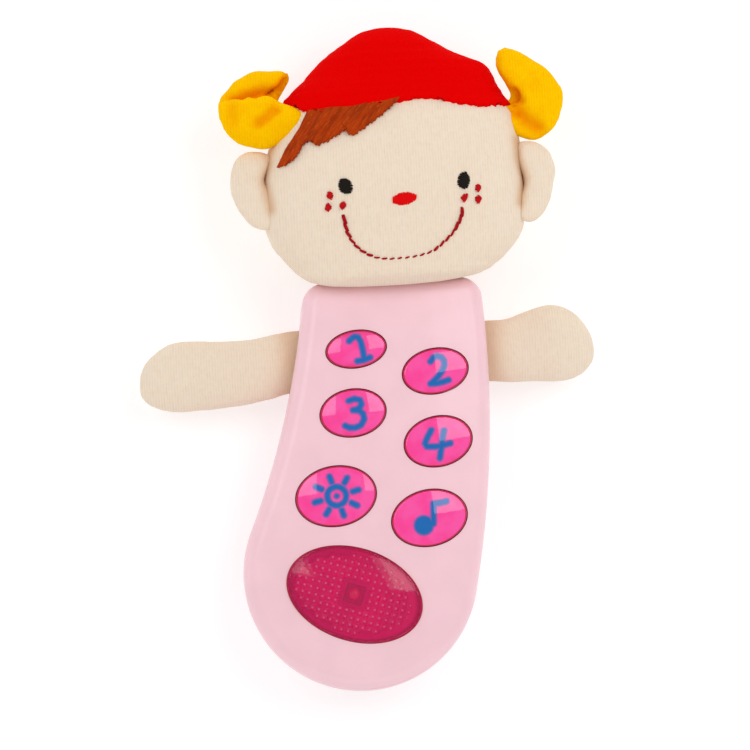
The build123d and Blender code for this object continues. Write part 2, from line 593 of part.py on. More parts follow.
def pillow(points, thickness, edge, z):
    """Flat stuffed shape with a rounded edge, cut where it meets the head."""
    plan = make_face(Spline(points, periodic=True))
    body = prism(plan, z - thickness / 2, z + thickness / 2)
    ends = body.faces().filter_by(Axis.Z)
    body = fillet([edge for face in ends for edge in face.edges()], edge)
    return max((body - HEAD).solids(), key=lambda piece: piece.volume)


def on_head_front(plan, thickness):
    """Thin layer on the front of the head, with this plan."""
    layer = head_form(thickness) - HEAD
    return [layer & prism(one, HEAD_Z, FAR) for one in plan]


def embroidery():
    def oval(x, y, length, width, turn):
        return Pos(x, y) * Rot(0, 0, turn) * Ellipse(length, width)

    smile = trace(Spline(MOUTH), line_width=MOUTH_WIDTH)
    return {
        "embroidered_eyes": on_head_front([oval(*eye) for eye in EYES], THREAD_T),
        "embroidered_nose": on_head_front([oval(*NOSE)], THREAD_T),
        "embroidered_mouth": on_head_front([smile], THREAD_T),
        "embroidered_freckles": on_head_front(
            [Pos(x, y) * Circle(FRECKLE_R) for x, y in FRECKLES], THREAD_T),
    }


def hair():
    return on_head_front([make_face(Polyline(HAIR_OUTLINE, close=True))], HAIR_T)


# ---------------------------------------------------------------- all the pieces

def pieces():
    nodes = {
        "front_shell": front_shell(), "rear_shell": rear_shell(),
        "battery_door": battery_door(), "battery_door_screw": battery_door_screw(),
        "case_screws": case_screws(), "board_screws": board_screws(),
        "lens": lens(), "reflector": reflector(), "led_holder": led_holder(), "led": led(),
        "circuit_board": circuit_board(), "key_membrane": key_membrane(),
        "chip_blob": chip_blob(), "board_components": board_components(),
        "battery_cells": battery_cells(), "contact_springs": contact_springs(),
        "contact_plates": contact_plates(), "speaker_leads": speaker_leads(), "hair": hair(),
    }
    nodes.update({name: key_cap(*key) for name, key in KEYS.items()})
    for group in (battery_leads(), speaker(), neck(), head(), embroidery()):
        nodes.update(group)
    for side in ("left", "right"):
        nodes.update(arm(side))
        nodes[f"arm_{side}_anchor"] = arm_anchor(side)
        horn = pillow(HORN_OUTLINES[side], HORN_T, HORN_EDGE, HORN_Z)
        ear = pillow(EAR_OUTLINES[side], EAR_T, EAR_EDGE, EAR_Z)
        nodes[f"horn_{side}"], nodes[f"ear_{side}"] = horn, ear - horn
    return nodes


os.makedirs("parts", exist_ok=True)
for node, shape in pieces().items():
    solids = shape if isinstance(shape, list) else [shape]
    export_step(Compound(children=[solid for piece in solids for solid in piece.solids()]),
                f"parts/{node}.step")
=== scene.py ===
"""Looks for the toy phone: moulded pink handset, clear keys and lens, stuffed velour doll."""
import math
import random

import bmesh
import bpy
import numpy as np
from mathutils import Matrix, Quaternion, Vector, noise
from mathutils.bvhtree import BVHTree


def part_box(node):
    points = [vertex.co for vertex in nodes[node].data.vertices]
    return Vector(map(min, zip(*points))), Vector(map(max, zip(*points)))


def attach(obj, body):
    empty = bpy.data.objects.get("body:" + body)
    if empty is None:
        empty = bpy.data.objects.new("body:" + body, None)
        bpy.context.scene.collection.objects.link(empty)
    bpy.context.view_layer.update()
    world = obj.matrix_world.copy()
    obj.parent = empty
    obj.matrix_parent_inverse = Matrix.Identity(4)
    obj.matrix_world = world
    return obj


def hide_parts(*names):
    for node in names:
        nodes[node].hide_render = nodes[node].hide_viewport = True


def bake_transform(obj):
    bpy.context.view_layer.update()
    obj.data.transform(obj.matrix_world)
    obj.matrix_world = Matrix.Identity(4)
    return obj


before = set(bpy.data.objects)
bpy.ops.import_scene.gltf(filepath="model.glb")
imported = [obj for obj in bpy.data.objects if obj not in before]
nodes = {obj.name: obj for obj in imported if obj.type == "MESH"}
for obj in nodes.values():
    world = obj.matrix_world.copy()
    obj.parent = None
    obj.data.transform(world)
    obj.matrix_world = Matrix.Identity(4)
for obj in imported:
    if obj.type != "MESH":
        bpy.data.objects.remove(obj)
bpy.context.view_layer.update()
scene = bpy.context.scene
random.seed(7)

# Lengths are in millimetres until a mesh is written, and MM turns them into metres.
MM = 0.001
UP = (0, 0, 1)
HEAD_Z = (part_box("head_cover")[0].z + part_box("head_cover")[1].z) / 2 / MM
SHELL_TOP_Y, SHELL_FRONT_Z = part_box("front_shell")[1].y / MM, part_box("front_shell")[1].z / MM
WALL_Z = SHELL_FRONT_Z - 2.5  # the walls of the key and lens openings begin above this
ARM_Z = (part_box("arm_left_cover")[0].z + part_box("arm_left_cover")[1].z) / 2 / MM

# Head and hat: y, centre x, centre z, half size along x, half size along z.
BAG_ROWS = [
    (61.8, -3, 37.5, 11, 2.5), (63.0, -1, 35.5, 21, 6.5), (65.2, 1, 31, 27.5, 14), (68.4, 2.1, 28, 31.8, 18),
    (72.6, 2.8, 26.4, 36, 20.8), (77.6, 3, HEAD_Z, 39.4, 22.8), (83, 2.6, HEAD_Z, 40.6, 24.3),
    (89, 2.6, HEAD_Z, 41.1, 25.2), (96, 2.6, HEAD_Z, 40.8, 25.4), (103, 3.0, HEAD_Z, 40.3, 25.2),
    (110, 3.7, HEAD_Z, 38.6, 24.2), (116, 4.6, HEAD_Z, 36.5, 22.4),
    (121, 3.6, HEAD_Z, 34.2, 20.2), (125, 4.2, HEAD_Z, 31.6, 18.2), (128.5, 5.4, HEAD_Z, 29, 16.4),
    (131.5, 5.6, HEAD_Z, 26.3, 14.8), (134.4, 3.8, HEAD_Z, 21.6, 13), (137.6, 3.2, HEAD_Z, 16.6, 10.8),
    (140.6, 2.9, HEAD_Z, 11.8, 8.2), (142.8, 3.0, HEAD_Z, 7.6, 5.4), (144, 3.3, HEAD_Z, 3, 2.4),
]
# Seam between the face and the hat, from the left corner to the right one: x, y.
HAT_SEAM = [(-60, 121.4), (-30.9, 121.4), (-22.7, 115.7), (-9.5, 115), (-1.7, 116), (5.4, 117.2),
            (10.2, 118), (15.7, 117.7), (21.8, 116.3), (29.9, 115.3), (35.5, 116.2), (60, 118.8)]
# Cloth thicknesses, what the face runs on by under the hat, and where the stuffing stays clear of the cloth.
HAT_CLOTH, FELT, SEAM_UNDERLAP, STUFFING_LOW_Y, STUFFING_GAP = 1.0, 0.9, 1.5, 68.5, 2.0
# Neck between the handset's top wall and the head.
NECK_ROWS = [(60.5, 1, 16, 20.6, 9.2), (63.2, 1, 16, 21, 9.6), (65, 1, 16.2, 21.6, 10.2),
             (67, 1.2, 17, 22.6, 11.4), (70, 1.5, 19, 23.5, 13), (73, 1.8, 21, 22, 12)]

# Arms: x, centre y, centre z, half size along y, half size along z.
ARM_ROWS = {
    "left": [(-28.5, 41.6, 15, 10, 6.5), (-33, 41.1, 15, 10.3, 6.7), (-40, 39.6, 15, 10.6, 7.2),
             (-47, 38.7, 15, 10.9, 7.6), (-55, 38.4, 15, 11.3, 8), (-62, 38.3, 15, 11.6, 8.2),
             (-68, 38.2, 15, 11.4, 8), (-73, 37.7, 15, 10, 7), (-77, 37.2, 15, 7.6, 5.4),
             (-79.3, 36.5, 15, 4.7, 3.4), (-80.1, 36, 15, 1.7, 1.2)],
    "right": [(27, 41.8, 15, 10, 6.5), (31, 41.7, 15, 10.2, 6.7), (36.3, 41.5, 15, 10.4, 7.2),
              (43.6, 42.4, 15, 11.8, 8), (50, 43, 15, 12.6, 8.6), (55, 42.6, 15, 12, 8.2),
              (59.5, 41.8, 15, 9.8, 6.8), (62.3, 41.1, 15, 6.6, 4.6), (63.7, 40.5, 15, 3.6, 2.6),
              (64.1, 40.1, 15, 1.3, 1)],
}

ARM_STUFFING = (0.95, 0.84, 0.8)  # size of an arm's stuffing, as shares of its cover

EARS = {
    "left": [(-35.1, 104.8), (-39.1, 106.4), (-43.1, 106.3), (-46.3, 103.8), (-48.1, 100.2),
             (-48.5, 96.6), (-48.1, 92.5), (-46.2, 88.2), (-43.6, 84.4), (-40.9, 82.1), (-37.5, 81.2),
             (-35.6, 83.1), (-35.1, 86.4), (-35.3, 89.8), (-36.2, 93.6), (-37.6, 96.8), (-36, 101)],
    "right": [(41.6, 104.6), (44.4, 105.6), (48.4, 104.8), (51.7, 102), (53.3, 97.1), (52.5, 91.8),
              (50.8, 86.3), (48.2, 81.9), (44.2, 79.9), (41.1, 81.3), (40.8, 84.2), (41.4, 88.2),
              (42.8, 91.2), (43.1, 93.7), (42.3, 96.8), (41.5, 99.6)],
}
EAR_Z = (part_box("ear_left")[0].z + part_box("ear_left")[1].z) / 2 / MM
EAR_THICKNESS, HORN_THICKNESS = 8.5, 11.5

# Horns: outline and height of the middle. The left one is folded over, so it has two lobes.
HORNS = {
    "horn_left": ([(-50.4, 121.6), (-51, 118), (-50.2, 114.8), (-48.6, 111.4), (-46.2, 109.2), (-42.8, 107.5),
                   (-38.8, 106.4), (-35.4, 106.8), (-31.6, 108), (-26.6, 108.6), (-20.8, 109.6),
                   (-15.6, 111.2), (-15, 114), (-20.5, 116.8), (-28.5, 119.4), (-33, 121.8), (-36.6, 122.8),
                   (-41, 121.6), (-46, 122.6)], 34.5),
    "horn_left_tip": ([(-50, 119.6), (-50.6, 122.6), (-49.2, 125.2), (-46.4, 127.9), (-43, 130.2),
                       (-39.5, 131.6), (-35.4, 131.9), (-31.2, 131.6), (-28.2, 130.8), (-27.5, 129.2),
                       (-28.8, 127.2), (-30.6, 124.4), (-32.6, 121.4), (-36, 119), (-41, 117.4),
                       (-46, 117.4)], 28.5),
    "horn_right": ([(39.8, 135.5), (37.4, 134.6), (36.2, 132), (36.4, 128.9), (37.6, 126.2), (39.4, 123.2),
                    (40.5, 120.8), (39.6, 118.4), (35.6, 116.2), (36.8, 113.7), (38.3, 111), (40.2, 108.2),
                    (42.6, 106.3), (46.2, 105.7), (50.4, 106.6), (53.2, 108.9), (55.3, 112.8), (56.7, 117),
                    (56.6, 121.1), (54.6, 124.9), (50.8, 129), (46.4, 132), (42.6, 134.2)], 31),
}
# Folds pressed into the horns: points of the fold, depth, width.
FOLDS = {
    "horn_left": [([(-33, 118.2), (-35.5, 116), (-38.5, 114)], 1.9, 1.7),
                  ([(-46.6, 121), (-47, 117.4), (-46.2, 114.6)], 0.8, 1.8),
                  ([(-41.5, 121.2), (-38.5, 119.8), (-36.5, 119.6)], -1.3, 1.3)],
    "horn_left_tip": [([(-46, 121.6), (-41, 122.6), (-36.5, 123.6), (-31.5, 122.6)], 3.0, 2.4),
                      ([(-28.6, 128.4), (-30.4, 125), (-32.6, 122.4)], 1.8, 2.0)],
    "horn_right": [([(40.4, 118.6), (41.4, 115), (44.2, 111.4), (48.6, 108.4)], 2.4, 2.3),
                   ([(40.6, 120.4), (43.4, 117.6)], 1.8, 1.2),
                   ([(38.4, 114.2), (41.6, 113)], 1.2, 1.0)],
}
# Inner edges of the ears, where the face turns away under them; the cloth along them takes painted shade.
EAR_CREASES = {
    "left": [(-36, 106), (-36.2, 101.5), (-38, 97.2), (-37.2, 92.6), (-36.2, 87.5)],
    "right": [(41, 105.6), (41.2, 99.6), (42.2, 96.6), (42.9, 93.6), (42.3, 90.8), (41.2, 86)],
}

HAIR_TOP = [(-26, 110.5), (-22.6, 116.4), (-15.8, 116.5), (-9.5, 116.4), (-1.6, 117.3), (4.7, 118.1)]
HAIR_LOW = [(-33.1, 99.8), (-29.7, 100.5), (-26.9, 102.6), (-25.6, 105.1), (-23.6, 106.8), (-20.9, 105),
            (-17.8, 106.1), (-14.6, 107.8), (-11.9, 109), (-11.3, 107.2), (-9.2, 107.6), (-6, 109.7),
            (-2.7, 112), (0.6, 114.3), (3.7, 117)]
HAIR_OUTER = [(-33.1, 99.8), (-30.3, 104.9), (-26, 110.5)]

# Embroidery: centre x, centre y, half length, half width, tilt in degrees.
EYES = [(-13.3, 91.9, 2.6, 2.1, -76), (22.9, 91.9, 2.55, 2.0, 73)]
NOSE = (4.4, 87.1, 3.8, 1.85, 4)
FRECKLES = [(-18.1, 89.5), (-18.8, 85.9), (-14.3, 86.2), (27.2, 89.6), (22.8, 86.7), (27.1, 86.2)]
SMILE = [(-14.3, 83.1), (-14, 80.5), (-13.5, 78.1), (-12.2, 75.6), (-10.1, 73), (-7.2, 70.9), (-4.3, 69.8),
         (-0.9, 69.3), (4.3, 69.5), (7.7, 69.9), (10.8, 70.6), (13.3, 71.6), (15.5, 73.3), (17.8, 75.3),
         (19.8, 77.6), (21, 79.5), (21.8, 81.3), (22.3, 83.6)]

# Printed legends: pen strokes from the key's centre, with x along the doll's eye line.
LEGENDS = {
    "key_1": [[(-2.3, 2.4), (-1.5, 3.2), (-0.6, 3.8), (0.5, 3.6), (1.3, 2.2), (1.8, 0.2), (2.2, -1.7),
               (2.3, -3)], [(0.3, -3.8), (2.3, -3.4), (4.2, -2.6)]],
    "key_2": [[(-1.4, 2.9), (-0.6, 4), (0.6, 4.6), (1.9, 4.3), (2.8, 3.2), (2.9, 1.6), (2.2, 0),
               (0.9, -1.9), (-0.6, -3.4), (-1.4, -4), (0.5, -3.9), (2.5, -3.4), (4.2, -2.8)]],
    "key_3": [[(-1.5, 3.7), (0.2, 4.3), (1.9, 4), (2.5, 2.7), (1.8, 1.3), (-0.2, 0.8), (1.7, 0.7),
               (3, -0.4), (3.3, -2), (2.3, -3.8), (0.6, -4.6), (-1.2, -4.6), (-2.6, -4)]],
    "key_4": [[(-2, 3.4), (-3.1, 1.5), (-4, -0.7), (-3.4, -1.7), (-1.2, -1.7), (1.2, -1.4), (3.9, -0.6)],
              [(1.9, 3.3), (1.4, 0.8), (1.1, -2), (0.6, -5.2)]],
    "key_note": [[(1.3, -1.8), (1.3, 4.4), (3.2, 4.6), (5.3, 5.1)]],
    "key_sun": [],
}
NOTE_HEAD = (-1.7, -2.3, 3.0)
SUN_DISC, SUN_CORE, SUN_RAYS, SUN_REACH = 2.9, 0.8, 8, (4.9, 6.7)
STROKE = 0.86
EYE_LINE = -3  # degrees by which the doll's eye line is turned from the frame's x

WALE = 0.86  # width of one knitted rib
LENS_ALPHA, RIM_ALPHA = 0.34, 0.76

# Tray under the lens: half sizes of its oval, pitch and height of its pyramids, clear square round the lamp.
TRAY_OVAL, TRAY_TURN, PRISM_PITCH, PRISM_HEIGHT, LAMP_CLEAR = (18.9, 11.9), -18, 2.1, 0.8, 3.6
TRAY_LIFT, TRAY_SLOPE, TRAY_LEVEL_X = 2.6, 0.033, -16

FLOOR_HALF = 4000
CAMERA_PLACE, CAMERA_TARGET = Vector((-0.047, -0.014, 0.9)), Vector((-0.0065, 0.035, 0.030))


# ---------------------------------------------------------------- mesh helpers

def mesh_object(name, points, faces):
    """New smooth mesh from points in millimetres."""
    mesh = bpy.data.meshes.new(name)
    mesh.from_pydata([tuple(c * MM for c in p) for p in points], [], faces)
    mesh.polygons.foreach_set("use_smooth", [True] * len(mesh.polygons))
    piece = bpy.data.objects.new(name, mesh)
    scene.collection.objects.link(piece)
    return piece


def coords(piece):
    """Vertex positions in millimetres."""
    found = np.empty(3 * len(piece.data.vertices), np.float32)
    piece.data.vertices.foreach_get("co", found)
    return found.reshape(-1, 3).astype(float) / MM


def normals(piece):
    found = np.empty(3 * len(piece.data.vertices), np.float32)
    piece.data.vertices.foreach_get("normal", found)
    return found.reshape(-1, 3).astype(float)


def set_coords(piece, points):
    piece.data.vertices.foreach_set("co", (np.asarray(points) * MM).astype(np.float32).ravel())
    piece.data.update()


def modified(piece, kind, **settings):
    """Applies one modifier to the mesh."""
    modifier = piece.modifiers.new(kind, kind)
    for key, value in settings.items():
        setattr(modifier, key, value)
    bpy.context.view_layer.objects.active = piece
    bpy.ops.object.modifier_apply(modifier=modifier.name)
    return piece


def remeshed(piece, voxel):
    return modified(piece, "REMESH", mode="VOXEL", voxel_size=voxel * MM, use_smooth_shade=True)


def subdivided(piece):
    return modified(piece, "SUBSURF", levels=1, render_levels=1)


def smooth_line(points, closed=True, per_span=6):
    """Points along a smooth curve through the given ones."""
    count = len(points)
    line = []
    for i in range(count if closed else count - 1):
        near = [points[(i + k) % count] if closed else points[min(max(i + k, 0), count - 1)]
                for k in (-1, 0, 1, 2)]
        a, b, c, d = (np.array(p, float) for p in near)
        for step in range(per_span):
            t = step / per_span
            line.append(0.5 * (2 * b + (c - a) * t + (2 * a - 5 * b + 4 * c - d) * t**2
                               + (3 * b - a - 3 * c + d) * t**3))
    return line if closed else line + [np.array(points[-1], float)]


def evenly(line, count):
    """Evenly spaced points along a line."""
    line = np.array(line, float)
    steps = np.r_[0, np.cumsum(np.linalg.norm(np.diff(line, axis=0), axis=1))]
    wanted = np.linspace(0, steps[-1], count)
    return np.stack([np.interp(wanted, steps, line[:, k]) for k in range(line.shape[1])], axis=1)


def lofted(name, rows, along, power=2.25, segments=72):
    """Closed form through oval sections. along is the axis that the rows climb, "x" or "y"."""
    fine = smooth_line(rows, closed=False, per_span=4)
    points, faces = [], []
    for station, side, z, half_side, half_z in fine:
        for k in range(segments):
            angle = 2 * math.pi * k / segments
            c, s = math.cos(angle), math.sin(angle)
            u = side + max(half_side, 0.5) * math.copysign(abs(c) ** (2 / power), c)
            w = z + max(half_z, 0.5) * math.copysign(abs(s) ** (2 / power), s)
            points.append((u, station, w) if along == "y" else (station, u, w))
    for i in range(len(fine) - 1):
        for k in range(segments):
            a, b = i * segments + k, i * segments + (k + 1) % segments
            faces.append((a, b, b + segments, a + segments))
    faces.append(tuple(range(segments)))
    faces.append(tuple(range(len(points) - segments, len(points)))[::-1])
    return mesh_object(name, points, faces)


def fit_to_rows(piece, rows, along):
    """Brings each slice of a swollen piece back to the size that its rows give."""
    axis, side = (1, 0) if along == "y" else (0, 1)
    points = coords(piece)
    rows = np.array(sorted(smooth_line(rows, closed=False, per_span=4), key=lambda row: row[0]))
    bins = np.round(points[:, axis]).astype(int)
    stations = np.arange(bins.min(), bins.max() + 1)
    slot = bins - stations[0]
    for direction, centre_column, half_column in ((side, 1, 3), (2, 2, 4)):
        low, high = np.full(len(stations), 1e9), np.full(len(stations), -1e9)
        np.minimum.at(low, slot, points[:, direction])
        np.maximum.at(high, slot, points[:, direction])
        full = high > low + 1
        centre = np.interp(points[:, axis], stations[full], (low + high)[full] / 2)
        half = np.interp(points[:, axis], stations[full], (high - low)[full] / 2)
        want_centre = np.interp(points[:, axis], rows[:, 0], rows[:, centre_column])
        want_half = np.interp(points[:, axis], rows[:, 0], rows[:, half_column])
        ratio = np.clip(want_half / half, 1 - FIT_LIMIT, 1 + FIT_LIMIT)
        points[:, direction] = want_centre + (points[:, direction] - centre) * ratio
    set_coords(piece, points)
    return piece


SIM_SCALE = 8  # the cloth solver is at its best on pieces of decimetres
FIT_LIMIT = 0.15  # how far a swollen slice may be stretched or shrunk to its rows


def inflated(piece, stitches, pressure, cap, frames=20):
    """Swells a stuffed piece by cloth simulation. stitches gives 0 to 1 for points that thread holds."""
    rest = coords(piece)
    hold = stitches(rest)
    set_coords(piece, rest * SIM_SCALE)
    group = piece.vertex_groups.new(name="stitches")
    for index in np.nonzero(hold > 0.02)[0]:
        group.add([int(index)], float(hold[index]), "REPLACE")
    cloth = piece.modifiers.new("Cloth", "CLOTH")
    settings = cloth.settings
    settings.quality = 5
    settings.use_pressure, settings.uniform_pressure_force = True, pressure
    settings.vertex_group_mass = "stitches"
    settings.effector_weights.gravity = 0
    settings.tension_stiffness = settings.compression_stiffness = 15
    settings.bending_stiffness = 0.6
    cloth.point_cache.frame_start, cloth.point_cache.frame_end = 1, frames
    for step in range(1, frames + 1):
        scene.frame_set(step)
    swollen = piece.evaluated_get(bpy.context.evaluated_depsgraph_get()).to_mesh()
    moved = np.array([v.co for v in swollen.vertices], float).reshape(-1, 3) / MM / SIM_SCALE
    piece.modifiers.remove(cloth)
    scene.frame_set(1)
    shift = moved - rest
    length = np.maximum(np.linalg.norm(shift, axis=1), 1e-9)
    set_coords(piece, rest + shift * np.minimum(1, cap / length)[:, None])
    return piece


def keep_rest(piece):
    """Stores where each point is at rest, so that a weave stays put as its cloth bends."""
    attribute = piece.data.attributes.new("rest", "FLOAT_VECTOR", "POINT")
    attribute.data.foreach_set("vector", coords(piece).astype(np.float32).ravel())
    return piece


def paint_crease_shade(piece, amount):
    """Stores 0 to 1 for how deep in a crease each point lies, which the cloth darkens by as painted shade."""
    piece.data.attributes.new("painted_crease_shade", "FLOAT", "POINT").data.foreach_set("value", amount.astype(np.float32))
    return piece


def swell(piece, amount):
    """Moves every point outward, by one amount or by one for each."""
    set_coords(piece, coords(piece) + normals(piece) * np.broadcast_to(amount, len(coords(piece)))[:, None])
    return piece


def lumps(points, size, height, seed):
    """Slightly uneven stuffing."""
    return np.array([noise.noise(Vector(p) / size + Vector((seed, 0, 0))) * height for p in points])


def line_distance(points, line):
    """Distance in plan from each point to a line of corners."""
    nearest = np.full(len(points), 1e9)
    for a, b in zip(np.array(line, float), np.array(line, float)[1:]):
        way = b - a
        share = np.clip((points[:, :2] - a) @ way / (way @ way), 0, 1)
        nearest = np.minimum(nearest, np.linalg.norm(points[:, :2] - a - share[:, None] * way, axis=1))
    return nearest


def pillow(name, outline, z, thickness, voxel, shape=None):
    """Two cloth panels sewn round an outline and stuffed."""
    edge = evenly(smooth_line(outline) + [np.array(outline[0], float)], 97)[:-1]
    count = len(edge)
    middle = edge.mean(axis=0)
    rings = [1.0, 0.9, 0.72, 0.45]
    points, faces = [], []
    for side in (1, -1):
        for ring in rings:
            lift = side * (thickness / 2 * math.sqrt(max(0, 1 - ring**2.6)) * 0.8 + 0.4)
            points += [(*(middle + (p - middle) * ring), z + lift) for p in edge]
        points.append((*middle, z + side * (thickness / 2 * 0.8 + 0.4)))
    half = len(rings) * count + 1
    for side in (0, 1):
        base = side * half
        turn = -1 if side else 1
        for r in range(len(rings) - 1):
            for k in range(count):
                a, b = base + r * count + k, base + r * count + (k + 1) % count
                faces.append((a, b, b + count, a + count)[::turn])
        last = base + (len(rings) - 1) * count
        faces += [(last + k, last + (k + 1) % count, base + half - 1)[::turn] for k in range(count)]
    faces += [(half + k, half + (k + 1) % count, (k + 1) % count, k) for k in range(count)]
    piece = remeshed(mesh_object(name, points, faces), voxel)
    if shape:
        set_coords(piece, shape(coords(piece)))
    round_it = [*edge, edge[0]]

    def seam(rest):
        return ((line_distance(rest, round_it) < voxel * 0.8) & (np.abs(rest[:, 2] - z) < 1.2)).astype(float)

    return subdivided(inflated(piece, seam, 5, thickness * 0.22))


# ---------------------------------------------------------------- material helpers

class Shader:
    """Short way to write a node tree."""

    def __init__(self, name):
        self.material = bpy.data.materials.new(name)
        self.material.use_nodes = True
        self.tree = self.material.node_tree
        self.surface = self.tree.nodes["Principled BSDF"]

    def plug(self, target, value):
        if isinstance(value, bpy.types.NodeSocket):
            self.tree.links.new(value, target)
        else:
            target.default_value = value

    def put(self, socket, value):
        self.plug(self.surface.inputs[socket], value)

    def node(self, kind, inputs, **settings):
        made = self.tree.nodes.new(kind)
        for key, value in settings.items():
            setattr(made, key, value)
        for key, value in inputs.items():
            self.plug(made.inputs[key], value)
        return made

    def math(self, operation, a, b=0.0, c=0.0, clamp=False):
        made = self.node("ShaderNodeMath", {0: a, 1: b, 2: c}, operation=operation, use_clamp=clamp)
        return made.outputs[0]

    def add(self, value, factor, other):
        """value * factor + other"""
        return self.math("MULTIPLY_ADD", value, factor, other)

    def vector(self, operation, a, b=(0, 0, 0)):
        made = self.node("ShaderNodeVectorMath", {0: a, 1: b}, operation=operation)
        return made.outputs["Value" if operation in ("DOT_PRODUCT", "LENGTH") else "Vector"]

    def scaled(self, vector, factor):
        made = self.node("ShaderNodeVectorMath", {0: vector, "Scale": factor}, operation="SCALE")
        return made.outputs["Vector"]

    def mix(self, factor, a, b):
        return self.node("ShaderNodeMix", {0: factor, 6: a, 7: b}, data_type="RGBA").outputs[2]

    def noise(self, vector, scale, detail=3.0, roughness=0.5):
        inputs = {"Vector": vector, "Scale": scale, "Detail": detail, "Roughness": roughness}
        return self.node("ShaderNodeTexNoise", inputs).outputs["Fac"]

    def step(self, value, low, high):
        """Smooth 0 to 1 as value goes from low to high."""
        made = self.node("ShaderNodeMapRange", {"Value": value, "From Min": low, "From Max": high},
                         interpolation_type="SMOOTHSTEP")
        return made.outputs["Result"]

    def object_mm(self):
        return self.scaled(self.node("ShaderNodeTexCoord", {}).outputs["Object"], 1 / MM)

    def facing(self, direction):
        """1 where the surface faces the direction, 0 square to it."""
        return self.vector("DOT_PRODUCT", self.node("ShaderNodeNewGeometry", {}).outputs["Normal"], direction)

    def stored(self, name):
        return self.node("ShaderNodeAttribute", {}, attribute_name=name).outputs

    def bump(self, height, strength, distance):
        inputs = {"Height": height, "Strength": strength, "Distance": distance * MM}
        self.put("Normal", self.node("ShaderNodeBump", inputs).outputs["Normal"])


def linear(*screen):
    """Screen colour from 0 to 255 as the linear colour that shaders use."""
    values = [c / 255 for c in screen]
    return (*(c / 12.92 if c <= 0.04045 else ((c + 0.055) / 1.055) ** 2.4 for c in values), 1.0)


def shade(color, factor):
    return (color[0] * factor, color[1] * factor, color[2] * factor, 1.0)


def velour(name, color, deep, crease_shade_color, from_rest=True, depth=0.07, contrast=0.26, sheen=0.15):
    """Stretch velour: fine knitted ribs under a short soft pile, with painted shade in its colour where it is
    creased.
    """
    s = Shader(name)
    place = s.stored("rest")["Vector"] if from_rest else s.object_mm()
    parts = s.node("ShaderNodeSeparateXYZ", {0: place}).outputs
    wander = s.noise(place, 0.3, 2.0)
    phase = s.add(wander, 3.5, s.math("MULTIPLY", parts["X"], 2 * math.pi / WALE))
    rib = s.add(s.math("SINE", phase), 0.5, 0.5)
    dash = s.node("ShaderNodeCombineXYZ", {0: s.math("MULTIPLY", parts["X"], 1 / WALE),
                                           1: s.math("MULTIPLY", parts["Y"], 0.22)}).outputs[0]
    broken = s.noise(dash, 1.0, 2.0, 0.6)
    pile = s.noise(place, 5.5, 4.0, 0.65)
    clump = s.noise(place, 0.7, 3.0, 0.55)
    turned = s.math("ABSOLUTE", s.facing((1, 0, 0)))
    shown = s.math("MULTIPLY", s.step(turned, 0.97, 0.75), s.add(s.step(broken, 0.3, 0.7), 0.65, 0.35))
    ribs = s.math("MULTIPLY", rib, shown)
    tone = s.add(ribs, -contrast, s.add(pile, 0.5, s.add(clump, 0.4, 0.18)))
    cloth = s.mix(s.step(tone, 0.1, 0.75), deep, color)
    # painted shade: the cloth turns to its crease colour by the stored crease depth
    s.put("Base Color", s.mix(s.math("MULTIPLY", s.stored("painted_crease_shade")["Fac"], 0.85), cloth, crease_shade_color))
    s.put("Roughness", 0.9)
    s.put("Specular IOR Level", 0.02)
    s.put("Sheen Weight", sheen)
    s.put("Sheen Roughness", 0.4)
    s.put("Sheen Tint", color)
    s.put("Subsurface Weight", 0.15)
    s.put("Subsurface Radius", (1.0, 0.5, 0.3))
    s.put("Subsurface Scale", 1.2 * MM)
    s.bump(s.add(ribs, -0.5, s.add(pile, 0.75, s.math("MULTIPLY", clump, 0.6))), 0.6, depth)
    return s.material


def plastic(name, color, roughness=0.32, coat=0.0, subsurface=0.0, edge=None):
    """Moulded plastic: faint mottling, fine satin grain. edge is painted shade on the walls of the front
    openings, for the dark gap round the keys and the lens.
    """
    s = Shader(name)
    place = s.object_mm()
    body = s.mix(s.step(s.noise(place, 0.09), 0.3, 0.7), shade(color, 0.965), color)
    if edge:
        # painted shade: the sideways walls of the openings above WALL_Z take the edge colour
        high = s.step(s.vector("DOT_PRODUCT", place, UP), WALL_Z - 0.3, WALL_Z)
        body = s.mix(s.math("MULTIPLY", high, s.step(s.facing(UP), 0.6, 0.3)), body, edge)
    s.put("Base Color", body)
    s.put("Roughness", s.add(s.noise(place, 0.6, 4.0), 0.1, roughness - 0.05))
    s.put("Coat Weight", coat)
    s.put("Coat Roughness", 0.06)
    s.put("Subsurface Weight", subsurface)
    s.put("Subsurface Radius", (1.0, 0.5, 0.5))
    s.put("Subsurface Scale", 1.5 * MM)
    s.bump(s.noise(place, 9.0, 2.0), 0.25, 0.012)
    return s.material


def metal(name, color, roughness=0.3):
    s = Shader(name)
    place = s.object_mm()
    s.put("Base Color", s.mix(s.noise(place, 1.2), shade(color, 0.8), color))
    s.put("Metallic", 1.0)
    s.put("Roughness", s.add(s.noise(place, 3.0, 4.0), 0.2, roughness - 0.1))
    s.bump(s.noise(place, 14.0, 2.0), 0.2, 0.01)
    return s.material


def thread(name, color):
    """Embroidery yarn, twisted along its length."""
    s = Shader(name)
    twist = s.math("SINE", s.vector("DOT_PRODUCT", s.object_mm(), (14.0, 11.0, 5.0)))
    s.put("Base Color", s.mix(s.add(twist, 0.35, 0.5), shade(color, 0.6), color))
    s.put("Roughness", 0.5)
    s.put("Specular IOR Level", 0.08)
    s.bump(twist, 0.5, 0.05)
    return s.material


